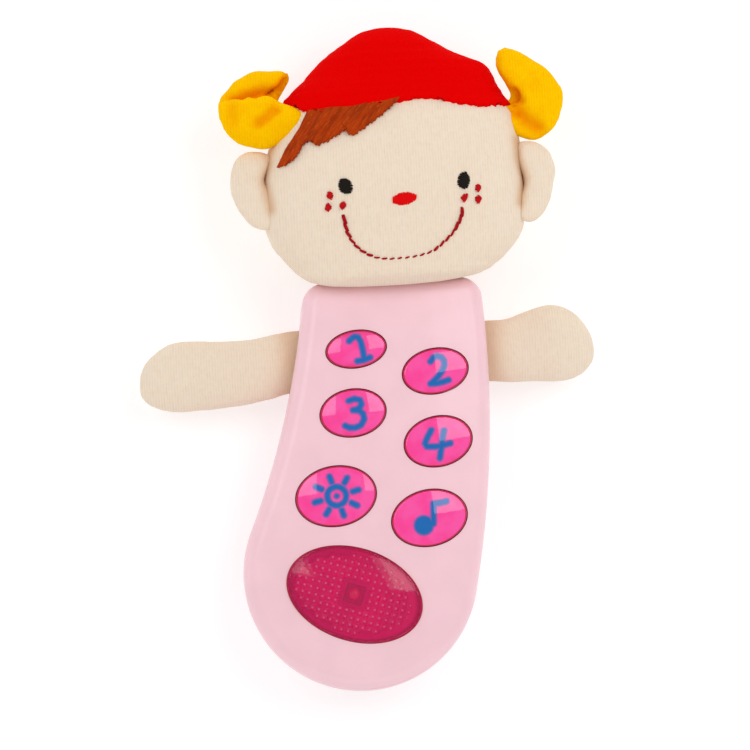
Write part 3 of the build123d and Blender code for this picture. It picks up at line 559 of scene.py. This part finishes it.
def felt(name, light, middle, dark):
    """Felt with brushed streaks that run down towards the left."""
    s = Shader(name)
    place = s.stored("rest")["Vector"]
    turned = s.node("ShaderNodeVectorRotate", {"Vector": place, "Angle": math.radians(-52)}).outputs[0]
    brushed = s.vector("MULTIPLY", turned, (0.12, 0.75, 0.3))
    streak, fine = s.noise(brushed, 1.0, 3.0, 0.6), s.noise(brushed, 3.4, 4.0, 0.65)
    base = s.mix(s.step(streak, 0.36, 0.6), dark, middle)
    s.put("Base Color", s.mix(s.step(fine, 0.5, 0.78), base, light))
    s.put("Roughness", 0.95)
    s.put("Specular IOR Level", 0.1)
    s.put("Sheen Weight", 0.15)
    s.put("Sheen Tint", light)
    s.bump(s.add(streak, 0.8, s.add(fine, 0.8, s.math("MULTIPLY", s.noise(place, 5.0), 0.4))), 0.6, 0.2)
    return s.material


def stroke_distance(s, place, lines):
    """Distance from the nearest pen stroke, in the key's plane."""
    nearest = None
    for line in lines:
        for a, b in zip(line, line[1:]):
            way = (b[0] - a[0], b[1] - a[1], 0)
            from_start = s.vector("SUBTRACT", place, (a[0], a[1], 0))
            share = s.math("DIVIDE", s.vector("DOT_PRODUCT", from_start, way),
                           way[0] ** 2 + way[1] ** 2, clamp=True)
            gap = s.vector("LENGTH", s.vector("SUBTRACT", from_start, s.scaled(way, share)))
            nearest = gap if nearest is None else s.math("MINIMUM", nearest, gap)
    return nearest


def legend_lines(name):
    lines = [list(line) for line in LEGENDS[name]]
    if name == "key_sun":
        near, far = SUN_REACH
        for k in range(SUN_RAYS):
            angle = 2 * math.pi * (k + 0.4) / SUN_RAYS
            c, d = 1.06 * math.cos(angle), 0.94 * math.sin(angle)
            lines.append([(near * c, near * d), (far * c, far * d)])
    return lines


def key_material(name):
    """Clear pink cap with a soft-edged blue print, and painted shade on its skirt for the dark gap round it.
    """
    low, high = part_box(name)
    middle = (low + high) / 2 / MM
    s = Shader("print_" + name)
    place = s.vector("SUBTRACT", s.object_mm(), (middle.x, middle.y, 0))
    level = s.node("ShaderNodeVectorRotate", {"Vector": place, "Angle": math.radians(-EYE_LINE)}).outputs[0]
    flat = s.vector("MULTIPLY", level, (1, 1, 0))
    distance = stroke_distance(s, flat, legend_lines(name))
    if name == "key_note":
        x, y, r = NOTE_HEAD
        blob = s.vector("LENGTH", s.vector("SUBTRACT", flat, (x, y, 0)))
        distance = s.math("MINIMUM", distance, s.math("SUBTRACT", blob, r - STROKE))
    if name == "key_sun":
        out = s.vector("LENGTH", flat)
        ring = s.math("ABSOLUTE", s.math("SUBTRACT", out, SUN_DISC))
        dot = s.math("SUBTRACT", out, SUN_CORE - STROKE)
        distance = s.math("MINIMUM", s.math("MINIMUM", distance, ring), dot)
    uneven = s.add(s.noise(flat, 0.8, 2.0), 0.3, s.math("SUBTRACT", distance, 0.15))
    halo = s.step(uneven, STROKE + 0.65, STROKE - 0.1)
    core = s.step(uneven, STROKE + 0.25, STROKE - 0.5)
    cloud = s.step(s.noise(flat, 0.16, 2.0), 0.35, 0.65)
    cap = s.mix(cloud, linear(255, 62, 154), linear(255, 82, 168))
    # painted shade: where the cap turns from facing up, its skirt takes a dark red for the gap round the key
    body = s.mix(s.step(s.facing(UP), 0.88, 0.98), linear(186, 0, 58), cap)
    s.put("Base Color", s.mix(core, s.mix(s.math("MULTIPLY", halo, 0.85), body, linear(96, 92, 172)),
                              linear(0, 104, 180)))
    s.put("Roughness", 0.2)
    s.put("Specular IOR Level", 0.05)
    s.put("Coat Weight", 1.0)
    s.put("Coat Roughness", 0.02)
    s.put("Subsurface Weight", 0.2)
    s.put("Subsurface Radius", (1.0, 0.25, 0.45))
    s.put("Subsurface Scale", 1.0 * MM)
    s.bump(s.noise(s.object_mm(), 0.5, 2.0), 0.1, 0.05)
    return s.material


def clear_magenta(name, color, rim):
    """Clear tinted lens, through which the tray shows. Its rim is thicker to see through, so deeper."""
    s = Shader(name)
    place = s.object_mm()
    inner = s.step(s.math("ABSOLUTE", s.facing(UP)), 0.72, 0.93)
    s.put("Base Color", s.mix(inner, rim, s.mix(s.noise(place, 0.1), shade(color, 0.9), color)))
    s.put("Alpha", s.add(inner, LENS_ALPHA - RIM_ALPHA, RIM_ALPHA))
    s.put("Roughness", 0.03)
    s.put("Coat Weight", inner)
    s.put("Coat Roughness", 0.02)
    s.put("Specular IOR Level", 0.3)
    s.bump(s.noise(place, 0.25, 2.0), 0.05, 0.05)
    return s.material


def prism_plastic(name, color, tip):
    """Magenta moulding whose small pyramids have painted glints, a pale colour at their tips."""
    s = Shader(name)
    # painted highlight: the pyramid tips take a pale glint colour
    painted_glint = s.step(s.stored("tip")["Fac"], 0.62, 0.86)
    cloud = s.step(s.noise(s.object_mm(), 0.12), 0.35, 0.65)
    s.put("Base Color", s.mix(painted_glint, s.mix(cloud, shade(color, 0.8), color), tip))
    s.put("Roughness", 0.25)
    s.put("Coat Weight", 0.6)
    return s.material


# ---------------------------------------------------------------- materials

# Cloth colours: main, deeper tone, and the painted shade colour for creases.
CREAM = (linear(239, 222, 202), linear(224, 205, 182), linear(206, 158, 110))
RED = (linear(228, 0, 0), linear(210, 0, 0), linear(150, 0, 0))
YELLOW = (linear(255, 200, 0), linear(250, 172, 0), linear(236, 126, 0))
WHITE = (linear(244, 243, 240), linear(226, 225, 222), linear(200, 198, 194))

materials = {
    # The openings' edge colour is painted shade for the gap round the keys and the lens.
    "shell": plastic("shell_pink", linear(246, 203, 212), roughness=0.36, coat=0.15, subsurface=0.08,
                     edge=linear(214, 0, 84)),
    "cream": velour("velour_cream", *CREAM),
    "red": velour("velour_red", *RED, contrast=0.08, sheen=0.03),
    "yellow": velour("velour_yellow", *YELLOW, depth=0.12, contrast=0.25, sheen=0.08),
    "hair": felt("felt_brown", linear(200, 88, 24), linear(172, 56, 6), linear(146, 44, 4)),
    "dark_thread": thread("thread_dark", linear(36, 30, 25)),
    "red_thread": thread("thread_red", linear(252, 0, 4)),
    "knot_thread": thread("thread_knots", linear(214, 18, 26)),
    "deep_thread": thread("thread_deep_red", linear(184, 14, 22)),
    "steel": metal("zinc_steel", linear(190, 192, 196)),
    "speaker": metal("speaker_steel", linear(90, 92, 96), 0.45),
    "white": plastic("plastic_white", linear(238, 236, 232), 0.45),
    "board": plastic("board_green", linear(24, 92, 48), 0.4),
    "black": plastic("resin_black", linear(22, 22, 22), 0.5),
    "silicone": plastic("silicone", linear(222, 220, 216), 0.6),
    "cell": plastic("cell_wrap", linear(40, 84, 170), 0.35, coat=0.5),
    "wire_red": plastic("wire_red", linear(196, 22, 20), 0.4),
    "lens": clear_magenta("lens_magenta", linear(236, 0, 104), linear(178, 0, 40)),
    "tray": plastic("tray_magenta", linear(255, 10, 124), 0.3),
    # The prisms' second colour is a painted glint at the pyramid tips.
    "prisms": prism_plastic("prism_magenta", linear(250, 0, 112), linear(255, 214, 234)),
    "holder": plastic("lamp_holder", linear(96, 0, 0), 0.4),
    "lamp": plastic("lamp_red", linear(240, 20, 60), 0.15, coat=1.0),
    "fibre": velour("stuffing_fibre", *WHITE, from_rest=False),
}
NODE_MATERIALS = {
    "shell": ["front_shell", "rear_shell", "battery_door"],
    "steel": ["battery_door_screw", "case_screws", "board_screws", "contact_springs", "contact_plates"],
    "board": ["circuit_board"], "silicone": ["key_membrane"], "cell": ["battery_cells"],
    "black": ["chip_blob", "board_components", "speaker_gasket", "speaker_cone", "battery_lead_black"],
    "speaker": ["speaker_basket", "speaker_magnet"], "wire_red": ["battery_lead_red", "speaker_leads"],
    "white": ["neck_plate", "arm_left_anchor", "arm_right_anchor"], "lens": ["lens"], "tray": ["reflector"],
    "holder": ["led_holder"], "lamp": ["led"],
}


def paint(piece, material):
    piece.data.materials.clear()
    piece.data.materials.append(material)
    return piece


def soft(piece, key, node=None, body="head"):
    """Gives a stuffed piece its cloth and its place in the frame, and hides the node it stands for."""
    keep_rest(paint(piece, materials[key]))
    if node:
        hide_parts(node)
    if body:
        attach(piece, body)
    return piece


# ---------------------------------------------------------------- head and hat

def seam_y(x):
    return np.interp(x, [p[0] for p in HAT_SEAM], [p[1] for p in HAT_SEAM])


def bag_stitches(rest):
    """Thread holds the cloth at the neck, along the hat seam and along the sides of the head."""
    neck = np.clip((68 - rest[:, 1]) / 3, 0, 1)
    hat = np.clip(1.6 - np.abs(rest[:, 1] - seam_y(rest[:, 0])), 0, 1)
    sides = np.clip(1.2 - np.abs(rest[:, 2] - HEAD_Z) * 0.6, 0, 1) * (rest[:, 1] > 70)
    return np.maximum(np.maximum(neck, hat * 0.9), sides * 0.8)


def stuffed_bag():
    """The head and the hat, as one sewn and stuffed bag."""
    # It starts smaller than its rows, because it swells.
    drawn = [(y, x, z, half_x - 0.6, half_z - 1.6) for y, x, z, half_x, half_z in BAG_ROWS]
    bag = remeshed(lofted("bag", drawn, "y"), 1.9)
    bag = subdivided(inflated(bag, bag_stitches, 4, 1.7))
    fit_to_rows(bag, BAG_ROWS, "y")
    points = coords(bag)
    uneven = lumps(points, 17, 0.5, 3) + lumps(points, 7, 0.14, 9)
    side = np.exp(-((points[:, 2] - HEAD_Z) / 0.9) ** 2) * (points[:, 1] > 72)
    return swell(bag, uneven * np.clip((points[:, 1] - 66) / 6, 0, 1) - 0.35 * side)


def part_of(bag, name, keep):
    """Copy of the faces whose middle passes the test."""
    piece = bag.copy()
    piece.data = bag.data.copy()
    piece.name = piece.data.name = name
    scene.collection.objects.link(piece)
    work = bmesh.new()
    work.from_mesh(piece.data)
    drop = [f for f in work.faces if not keep(f.calc_center_median() / MM)]
    bmesh.ops.delete(work, geom=drop, context="FACES")
    work.to_mesh(piece.data)
    work.free()
    return piece


def edge_points(piece):
    """Indices of the points on the open edge."""
    work = bmesh.new()
    work.from_mesh(piece.data)
    found = sorted({v.index for e in work.edges if e.is_boundary for v in e.verts})
    work.free()
    return found


def head_and_hat():
    bag = stuffed_bag()
    stuffing = part_of(bag, "doll_stuffing", lambda c: True)
    points = coords(stuffing)
    points[:, 1] = np.maximum(points[:, 1], STUFFING_LOW_Y)
    set_coords(stuffing, points)
    swell(stuffing, -STUFFING_GAP)
    face = part_of(bag, "doll_head", lambda c: c.y < seam_y(c.x) + SEAM_UNDERLAP)
    hat = part_of(bag, "doll_hat", lambda c: c.y > seam_y(c.x) - 0.2)
    bpy.data.objects.remove(bag)
    points = coords(hat)
    for index in edge_points(hat):
        points[index, 1] = seam_y(points[index, 0]) + 0.25 * math.sin(points[index, 0] * 2.3)
    above = np.clip((points[:, 1] - seam_y(points[:, 0])) / 3, 0, 1)
    set_coords(hat, points)
    swell(hat, 0.75 - 0.25 * above)
    modified(hat, "SOLIDIFY", thickness=HAT_CLOTH * MM, offset=-1)
    points = coords(face)
    # painted shade on the face along the inner edges of the ears
    near = np.minimum(*(line_distance(points, line) for line in EAR_CREASES.values()))
    paint_crease_shade(face, 0.8 * np.exp(-((near / 1.7) ** 2)) * (points[:, 2] > 22))
    soft(stuffing, "fibre", "head_stuffing")
    soft(face, "cream", "head_cover", body=None)
    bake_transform(face)
    soft(hat, "red", "hat")
    return face


def neck():
    """Short fabric tube between the handset and the head."""
    tube = remeshed(lofted("doll_neck", NECK_ROWS, "y", power=2.6), 1.3)
    points = coords(tube)
    pleats = 0.35 * np.sin(points[:, 0] * 1.9) * np.clip((points[:, 1] - 64) / 3, 0, 1)
    swell(tube, pleats)
    soft(tube, "cream", "neck_sleeve", body=None)
    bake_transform(tube)


# ---------------------------------------------------------------- pieces on the head

def surface_tree(piece):
    points = [Vector(p) for p in coords(piece)]
    return BVHTree.FromPolygons(points, [list(f.vertices) for f in piece.data.polygons])


def on_front(tree, x, y, lift=0.0):
    """Point above the front of the cloth at x, y."""
    hit, normal, _, _ = tree.ray_cast(Vector((x, y, 90)), Vector((0, 0, -1)))
    if hit is None:
        return Vector((x, y, HEAD_Z))
    return hit + (normal if normal.z > 0 else -normal) * lift


def strand(line, radius, sides=7):
    """Points and faces of one thread, tapered at its ends."""
    made, faces = [], []
    for i, p in enumerate(line):
        way = (line[min(i + 1, len(line) - 1)] - line[max(i - 1, 0)]).normalized()
        side = way.cross(Vector((0, 0, 1))).normalized()
        up = side.cross(way)
        share = min(max(i / (len(line) - 1), 0.04), 0.96)
        r = radius * (0.35 + 0.65 * math.sin(math.pi * share) ** 0.4)
        for k in range(sides):
            angle = 2 * math.pi * k / sides
            made.append(p + side * (r * math.cos(angle)) + up * (r * math.sin(angle)))
    for i in range(len(line) - 1):
        for k in range(sides):
            a, b = i * sides + k, i * sides + (k + 1) % sides
            faces.append((a, b, b + sides, a + sides))
    faces.append(tuple(range(sides))[::-1])
    faces.append(tuple(range(len(made) - sides, len(made))))
    return made, faces


def threads(name, lines, radius, key, node):
    """One piece of embroidery from many stitches."""
    points, faces = [], []
    for line in lines:
        made, ring = strand(line, radius)
        faces += [tuple(len(points) + v for v in face) for face in ring]
        points += made
    piece = paint(mesh_object(name, points, faces), materials[key])
    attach(piece, "head")
    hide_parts(node)


def arched(tree, start, end, height, count=7):
    """Stitch over the cloth from start to end, standing up a little in its middle."""
    line = []
    for k in range(count):
        t = k / (count - 1)
        x, y = start[0] + (end[0] - start[0]) * t, start[1] + (end[1] - start[1]) * t
        line.append(on_front(tree, x, y, -0.12 + height * math.sin(math.pi * t) ** 0.5))
    return line


def satin_oval(tree, x, y, length, width, turn, pitch, height):
    """Side-by-side stitches that fill an oval, across its long way."""
    c, s = math.cos(math.radians(turn)), math.sin(math.radians(turn))
    lines = []
    count = int(2 * length / pitch)
    for k in range(count + 1):
        u = -length + 2 * length * (k + 0.02) / (count + 0.04)
        half = width * math.sqrt(max(0, 1 - (u / length) ** 2)) + random.uniform(-0.12, 0.16)
        if half < 0.25:
            continue
        skew = random.uniform(-0.1, 0.1) + 0.2
        ends = [(x + p * c - q * s, y + p * s + q * c) for p, q in ((u - skew, -half), (u + skew, half))]
        lines.append(arched(tree, *ends, height))
    return lines


def embroidery(tree):
    eyes = [line for eye in EYES for line in satin_oval(tree, *eye, 0.42, 0.6)]
    threads("eye_stitches", eyes, 0.28, "dark_thread", "embroidered_eyes")
    threads("nose_stitches", satin_oval(tree, *NOSE, 0.38, 0.65), 0.28, "red_thread",
            "embroidered_nose")
    knots = []
    for x, y in FRECKLES:
        knots += satin_oval(tree, x, y, 1.25, 0.95, random.uniform(40, 110), 0.36, 0.75)
    threads("freckle_stitches", knots, 0.27, "knot_thread", "embroidered_freckles")
    threads("smile_stitches", smile(tree), 0.29, "deep_thread", "embroidered_mouth")


def smile(tree):
    """Running stitch along the middle of the smile, longer and doubled towards its corners."""
    line = evenly(smooth_line(SMILE, closed=False), 23)
    stitches = []
    for k in range(len(line) - 1):
        a, b = line[k], line[k + 1]
        way = b - a
        side = np.array([-way[1], way[0]]) / np.linalg.norm(way)
        end = abs((k + 0.5) / (len(line) - 1) - 0.5) * 2
        gap, lean = 0.24 - 0.36 * end, 0.12 + 0.14 * end
        for row in range(1 + (end > 0.35) + (end > 0.72)):
            shift = side * (0.26 * (row - 0.5 * (end > 0.35)) + random.uniform(-0.05, 0.05))
            start, stop = a + way * gap + shift - side * lean, b - way * gap + shift + side * lean
            stitches.append(arched(tree, start, stop, 0.3 + 0.25 * end, count=9))
    return stitches


def hair(tree):
    """Felt fringe sewn into the hat seam, cut to a jagged edge."""
    columns, rows = 110, 14
    low, top = evenly(HAIR_LOW, columns), evenly(HAIR_OUTER + HAIR_TOP[1:], columns)
    points, faces = [], []
    for i in range(columns):
        jag = (0.28 * math.sin(i * 1.9) + 0.2 * math.sin(i * 0.77 + 1)) * (i > 3)
        for j in range(rows):
            t = j / (rows - 1)
            x = low[i][0] * (1 - t) + top[i][0] * t
            y = (low[i][1] + jag) * (1 - t) + top[i][1] * t
            points.append(on_front(tree, x, y, 0.75 + 0.25 * math.sin(x * 0.7 - y * 0.6)))
    for i in range(columns - 1):
        for j in range(rows - 1):
            a = i * rows + j
            faces.append((a, a + rows, a + rows + 1, a + 1))
    piece = modified(mesh_object("felt_fringe", points, faces), "SOLIDIFY", thickness=FELT * MM, offset=0)
    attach(keep_rest(paint(piece, materials["hair"])), "head")
    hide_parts("hair")


def ears():
    for side, outline in EARS.items():
        inner = outline[0][0]

        def cupped(points, inner=inner):
            out = np.clip(np.abs(points[:, 0] - inner) / 14, 0, 1)
            points[:, 2] += 2.4 * (1 - out) ** 2 + 1.2 * out**2 - 1.0
            return points

        ear = pillow(f"doll_ear_{side}", outline, EAR_Z + 0.5, EAR_THICKNESS, 1.0, cupped)
        swell(ear, lumps(coords(ear), 6, 0.35, 5))
        # painted shade along the ear's inner edge
        paint_crease_shade(ear, 0.6 * np.exp(-((line_distance(coords(ear), EAR_CREASES[side]) / 1.8) ** 2)))
        soft(ear, "cream", f"ear_{side}")


def horns():
    for name, (outline, z) in HORNS.items():
        horn = pillow(name + "_sewn", outline, z, HORN_THICKNESS, 1.1)
        points = coords(horn)
        dent = lumps(points, 5, 0.6, 5)
        for line, depth, width in FOLDS[name]:
            dent -= depth * np.exp(-((line_distance(points, line) / width) ** 2)) * (points[:, 2] > z)
        # painted shade in the folds pressed into the horn
        swell(paint_crease_shade(horn, np.clip(-dent / 3, 0, 1)), dent)
        soft(horn, "yellow", None if "tip" in name else name)


# ---------------------------------------------------------------- arms

def arms():
    for side, rows in ARM_ROWS.items():
        root = rows[0][0]

        def stitches(rest, root=root):
            near = np.clip((6 - np.abs(rest[:, 0] - root)) / 3, 0, 1)
            return np.maximum(near, np.clip(1.1 - np.abs(rest[:, 2] - ARM_Z), 0, 1) * 0.7)

        drawn = [(x, y, z, half_y - 0.3, half_z - 0.7) for x, y, z, half_y, half_z in rows]
        limb = remeshed(lofted(f"doll_arm_{side}", drawn, "x", power=2.1, segments=56), 1.5)
        limb = subdivided(inflated(limb, stitches, 4, 1.0))
        points = coords(limb)
        seam = np.exp(-((points[:, 2] - ARM_Z) / 0.7) ** 2)
        swell(limb, lumps(points, 9, 0.5, 5) - 0.25 * seam)
        inside = part_of(limb, f"doll_arm_{side}_stuffing", lambda c: True)
        middle = np.array([root, rows[3][1], ARM_Z])
        set_coords(inside, middle + (coords(limb) - middle) * ARM_STUFFING)
        # painted shade round the arm's root at the handset
        paint_crease_shade(limb, 0.55 * np.exp(-((np.abs(points[:, 0] - root) - 3) / 5) ** 2))
        soft(limb, "cream", f"arm_{side}_cover", body=None)
        soft(inside, "fibre", f"arm_{side}_stuffing", body=None)
        for piece in (limb, inside):
            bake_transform(piece)


# ---------------------------------------------------------------- lens tray

def prism_tray():
    """Rows of small pyramids on the tray under the lens, which catch the light, with painted glints at their
    tips.
    """
    low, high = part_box("lens")
    x, y = (low.x + high.x) / 2 / MM, (low.y + high.y) / 2 / MM
    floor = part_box("reflector")[0].z / MM + TRAY_LIFT
    long_half, short_half = TRAY_OVAL
    c, s = math.cos(math.radians(TRAY_TURN)), math.sin(math.radians(TRAY_TURN))
    corners = ((-0.5, -0.5, 0), (0.5, -0.5, 0), (0.5, 0.5, 0), (-0.5, 0.5, 0), (0, 0, PRISM_HEIGHT))
    points, faces, tips = [], [], []
    reach = int(long_half / PRISM_PITCH) + 1
    for i in range(-reach, reach + 1):
        for j in range(-reach, reach + 1):
            u, v = (i + 0.5) * PRISM_PITCH, (j + 0.5) * PRISM_PITCH
            if (u / long_half) ** 2 + (v / short_half) ** 2 > 1 or max(abs(u), abs(v)) < LAMP_CLEAR:
                continue
            base = len(points)
            for du, dv, dz in corners:
                a, b = u + du * PRISM_PITCH, v + dv * PRISM_PITCH
                p, q = x + a * c - b * s, y + a * s + b * c
                points.append((p, q, floor + dz - TRAY_SLOPE * (p - TRAY_LEVEL_X)))
                tips.append(1.0 if dz else 0.0)
            faces += [(base, base + 1, base + 4), (base + 1, base + 2, base + 4),
                      (base + 2, base + 3, base + 4), (base + 3, base, base + 4),
                      (base + 3, base + 2, base + 1, base)]
    piece = mesh_object("lens_prisms", points, faces)
    piece.data.polygons.foreach_set("use_smooth", [False] * len(piece.data.polygons))
    # The tip attribute places the painted glint.
    piece.data.attributes.new("tip", "FLOAT", "POINT").data.foreach_set("value", tips)
    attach(paint(piece, materials["prisms"]), "handset")


# ---------------------------------------------------------------- stage, light and camera

def stage():
    corners = [(x * FLOOR_HALF, y * FLOOR_HALF, 0) for x, y in ((-1, -1), (1, -1), (1, 1), (-1, 1))]
    floor = mesh_object("floor", corners, [(0, 1, 2, 3)])
    s = Shader("pale_floor")
    tone = s.mix(s.noise(s.object_mm(), 0.01, 2.0), linear(204, 203, 203), linear(208, 207, 207))
    s.put("Base Color", tone)
    s.put("Roughness", 0.9)
    s.put("Emission Color", (1, 1, 1, 1))
    far = s.step(s.vector("LENGTH", s.object_mm()), 350, 1200)  # out there the panels give no light
    s.put("Emission Strength", s.add(far, 0.17, 0.48))
    paint(floor, s.material)


def softbox(name, place, size, radiance, turn=0.0, tilt=(0, 0)):
    """Flat light panel over the table, turned about the vertical and tilted."""
    light = bpy.data.lights.new(name, "AREA")
    light.shape, light.size, light.size_y = "RECTANGLE", size[0], size[1]
    light.energy = radiance * math.pi * size[0] * size[1]
    holder = bpy.data.objects.new(name, light)
    holder.location = place
    holder.rotation_euler = (math.radians(tilt[0]), math.radians(tilt[1]), math.radians(turn))
    scene.collection.objects.link(holder)


def lights():
    world = bpy.data.worlds.new("studio")
    world.use_nodes = True
    tree = world.node_tree
    background = tree.nodes["Background"]
    background.inputs["Color"].default_value = (1, 1, 1, 1)
    # White walls all round, with a dimmer ceiling.
    height = tree.nodes.new("ShaderNodeSeparateXYZ")
    tree.links.new(tree.nodes.new("ShaderNodeTexCoord").outputs["Generated"], height.inputs[0])
    level = tree.nodes.new("ShaderNodeMapRange")
    for name, value in {"From Min": 0.25, "From Max": 0.6, "To Min": 1.0, "To Max": 0.5}.items():
        level.inputs[name].default_value = value
    tree.links.new(height.outputs["Z"], level.inputs["Value"])
    tree.links.new(level.outputs["Result"], background.inputs["Strength"])
    scene.world = world
    softbox("right_panel", (0.36, 0.29, 0.75), (0.46, 0.48), 3.0, turn=4)
    softbox("left_panel", (-0.40, 0.29, 0.75), (0.36, 0.48), 2.6, turn=4)
    softbox("front_panel", (0, -0.62, 0.6), (0.9, 0.4), 0.8, tilt=(46, 0))


def camera():
    lens = bpy.data.cameras.new("camera")
    lens.lens, lens.sensor_width, lens.clip_start = 135, 36, 0.01
    holder = bpy.data.objects.new("camera", lens)
    turn = (CAMERA_TARGET - CAMERA_PLACE).to_track_quat("-Z", "Y")
    right = turn @ Vector((1, 0, 0))
    level = Vector((math.cos(math.radians(EYE_LINE)), math.sin(math.radians(EYE_LINE)), 0))
    roll = math.atan2(right.cross(level).z, right.dot(level))
    holder.location, holder.rotation_mode = CAMERA_PLACE, "QUATERNION"
    holder.rotation_quaternion = turn @ Quaternion(UP, roll)
    scene.collection.objects.link(holder)
    scene.camera = holder


# ---------------------------------------------------------------- build

for key, names in NODE_MATERIALS.items():
    for name in names:
        paint(nodes[name], materials[key])
for name in LEGENDS:
    paint(nodes[name], key_material(name))
front = surface_tree(head_and_hat())
neck()
hair(front)
embroidery(front)
ears()
horns()
arms()
prism_tray()
stage()
lights()
camera()
scene.view_settings.view_transform = "Standard"
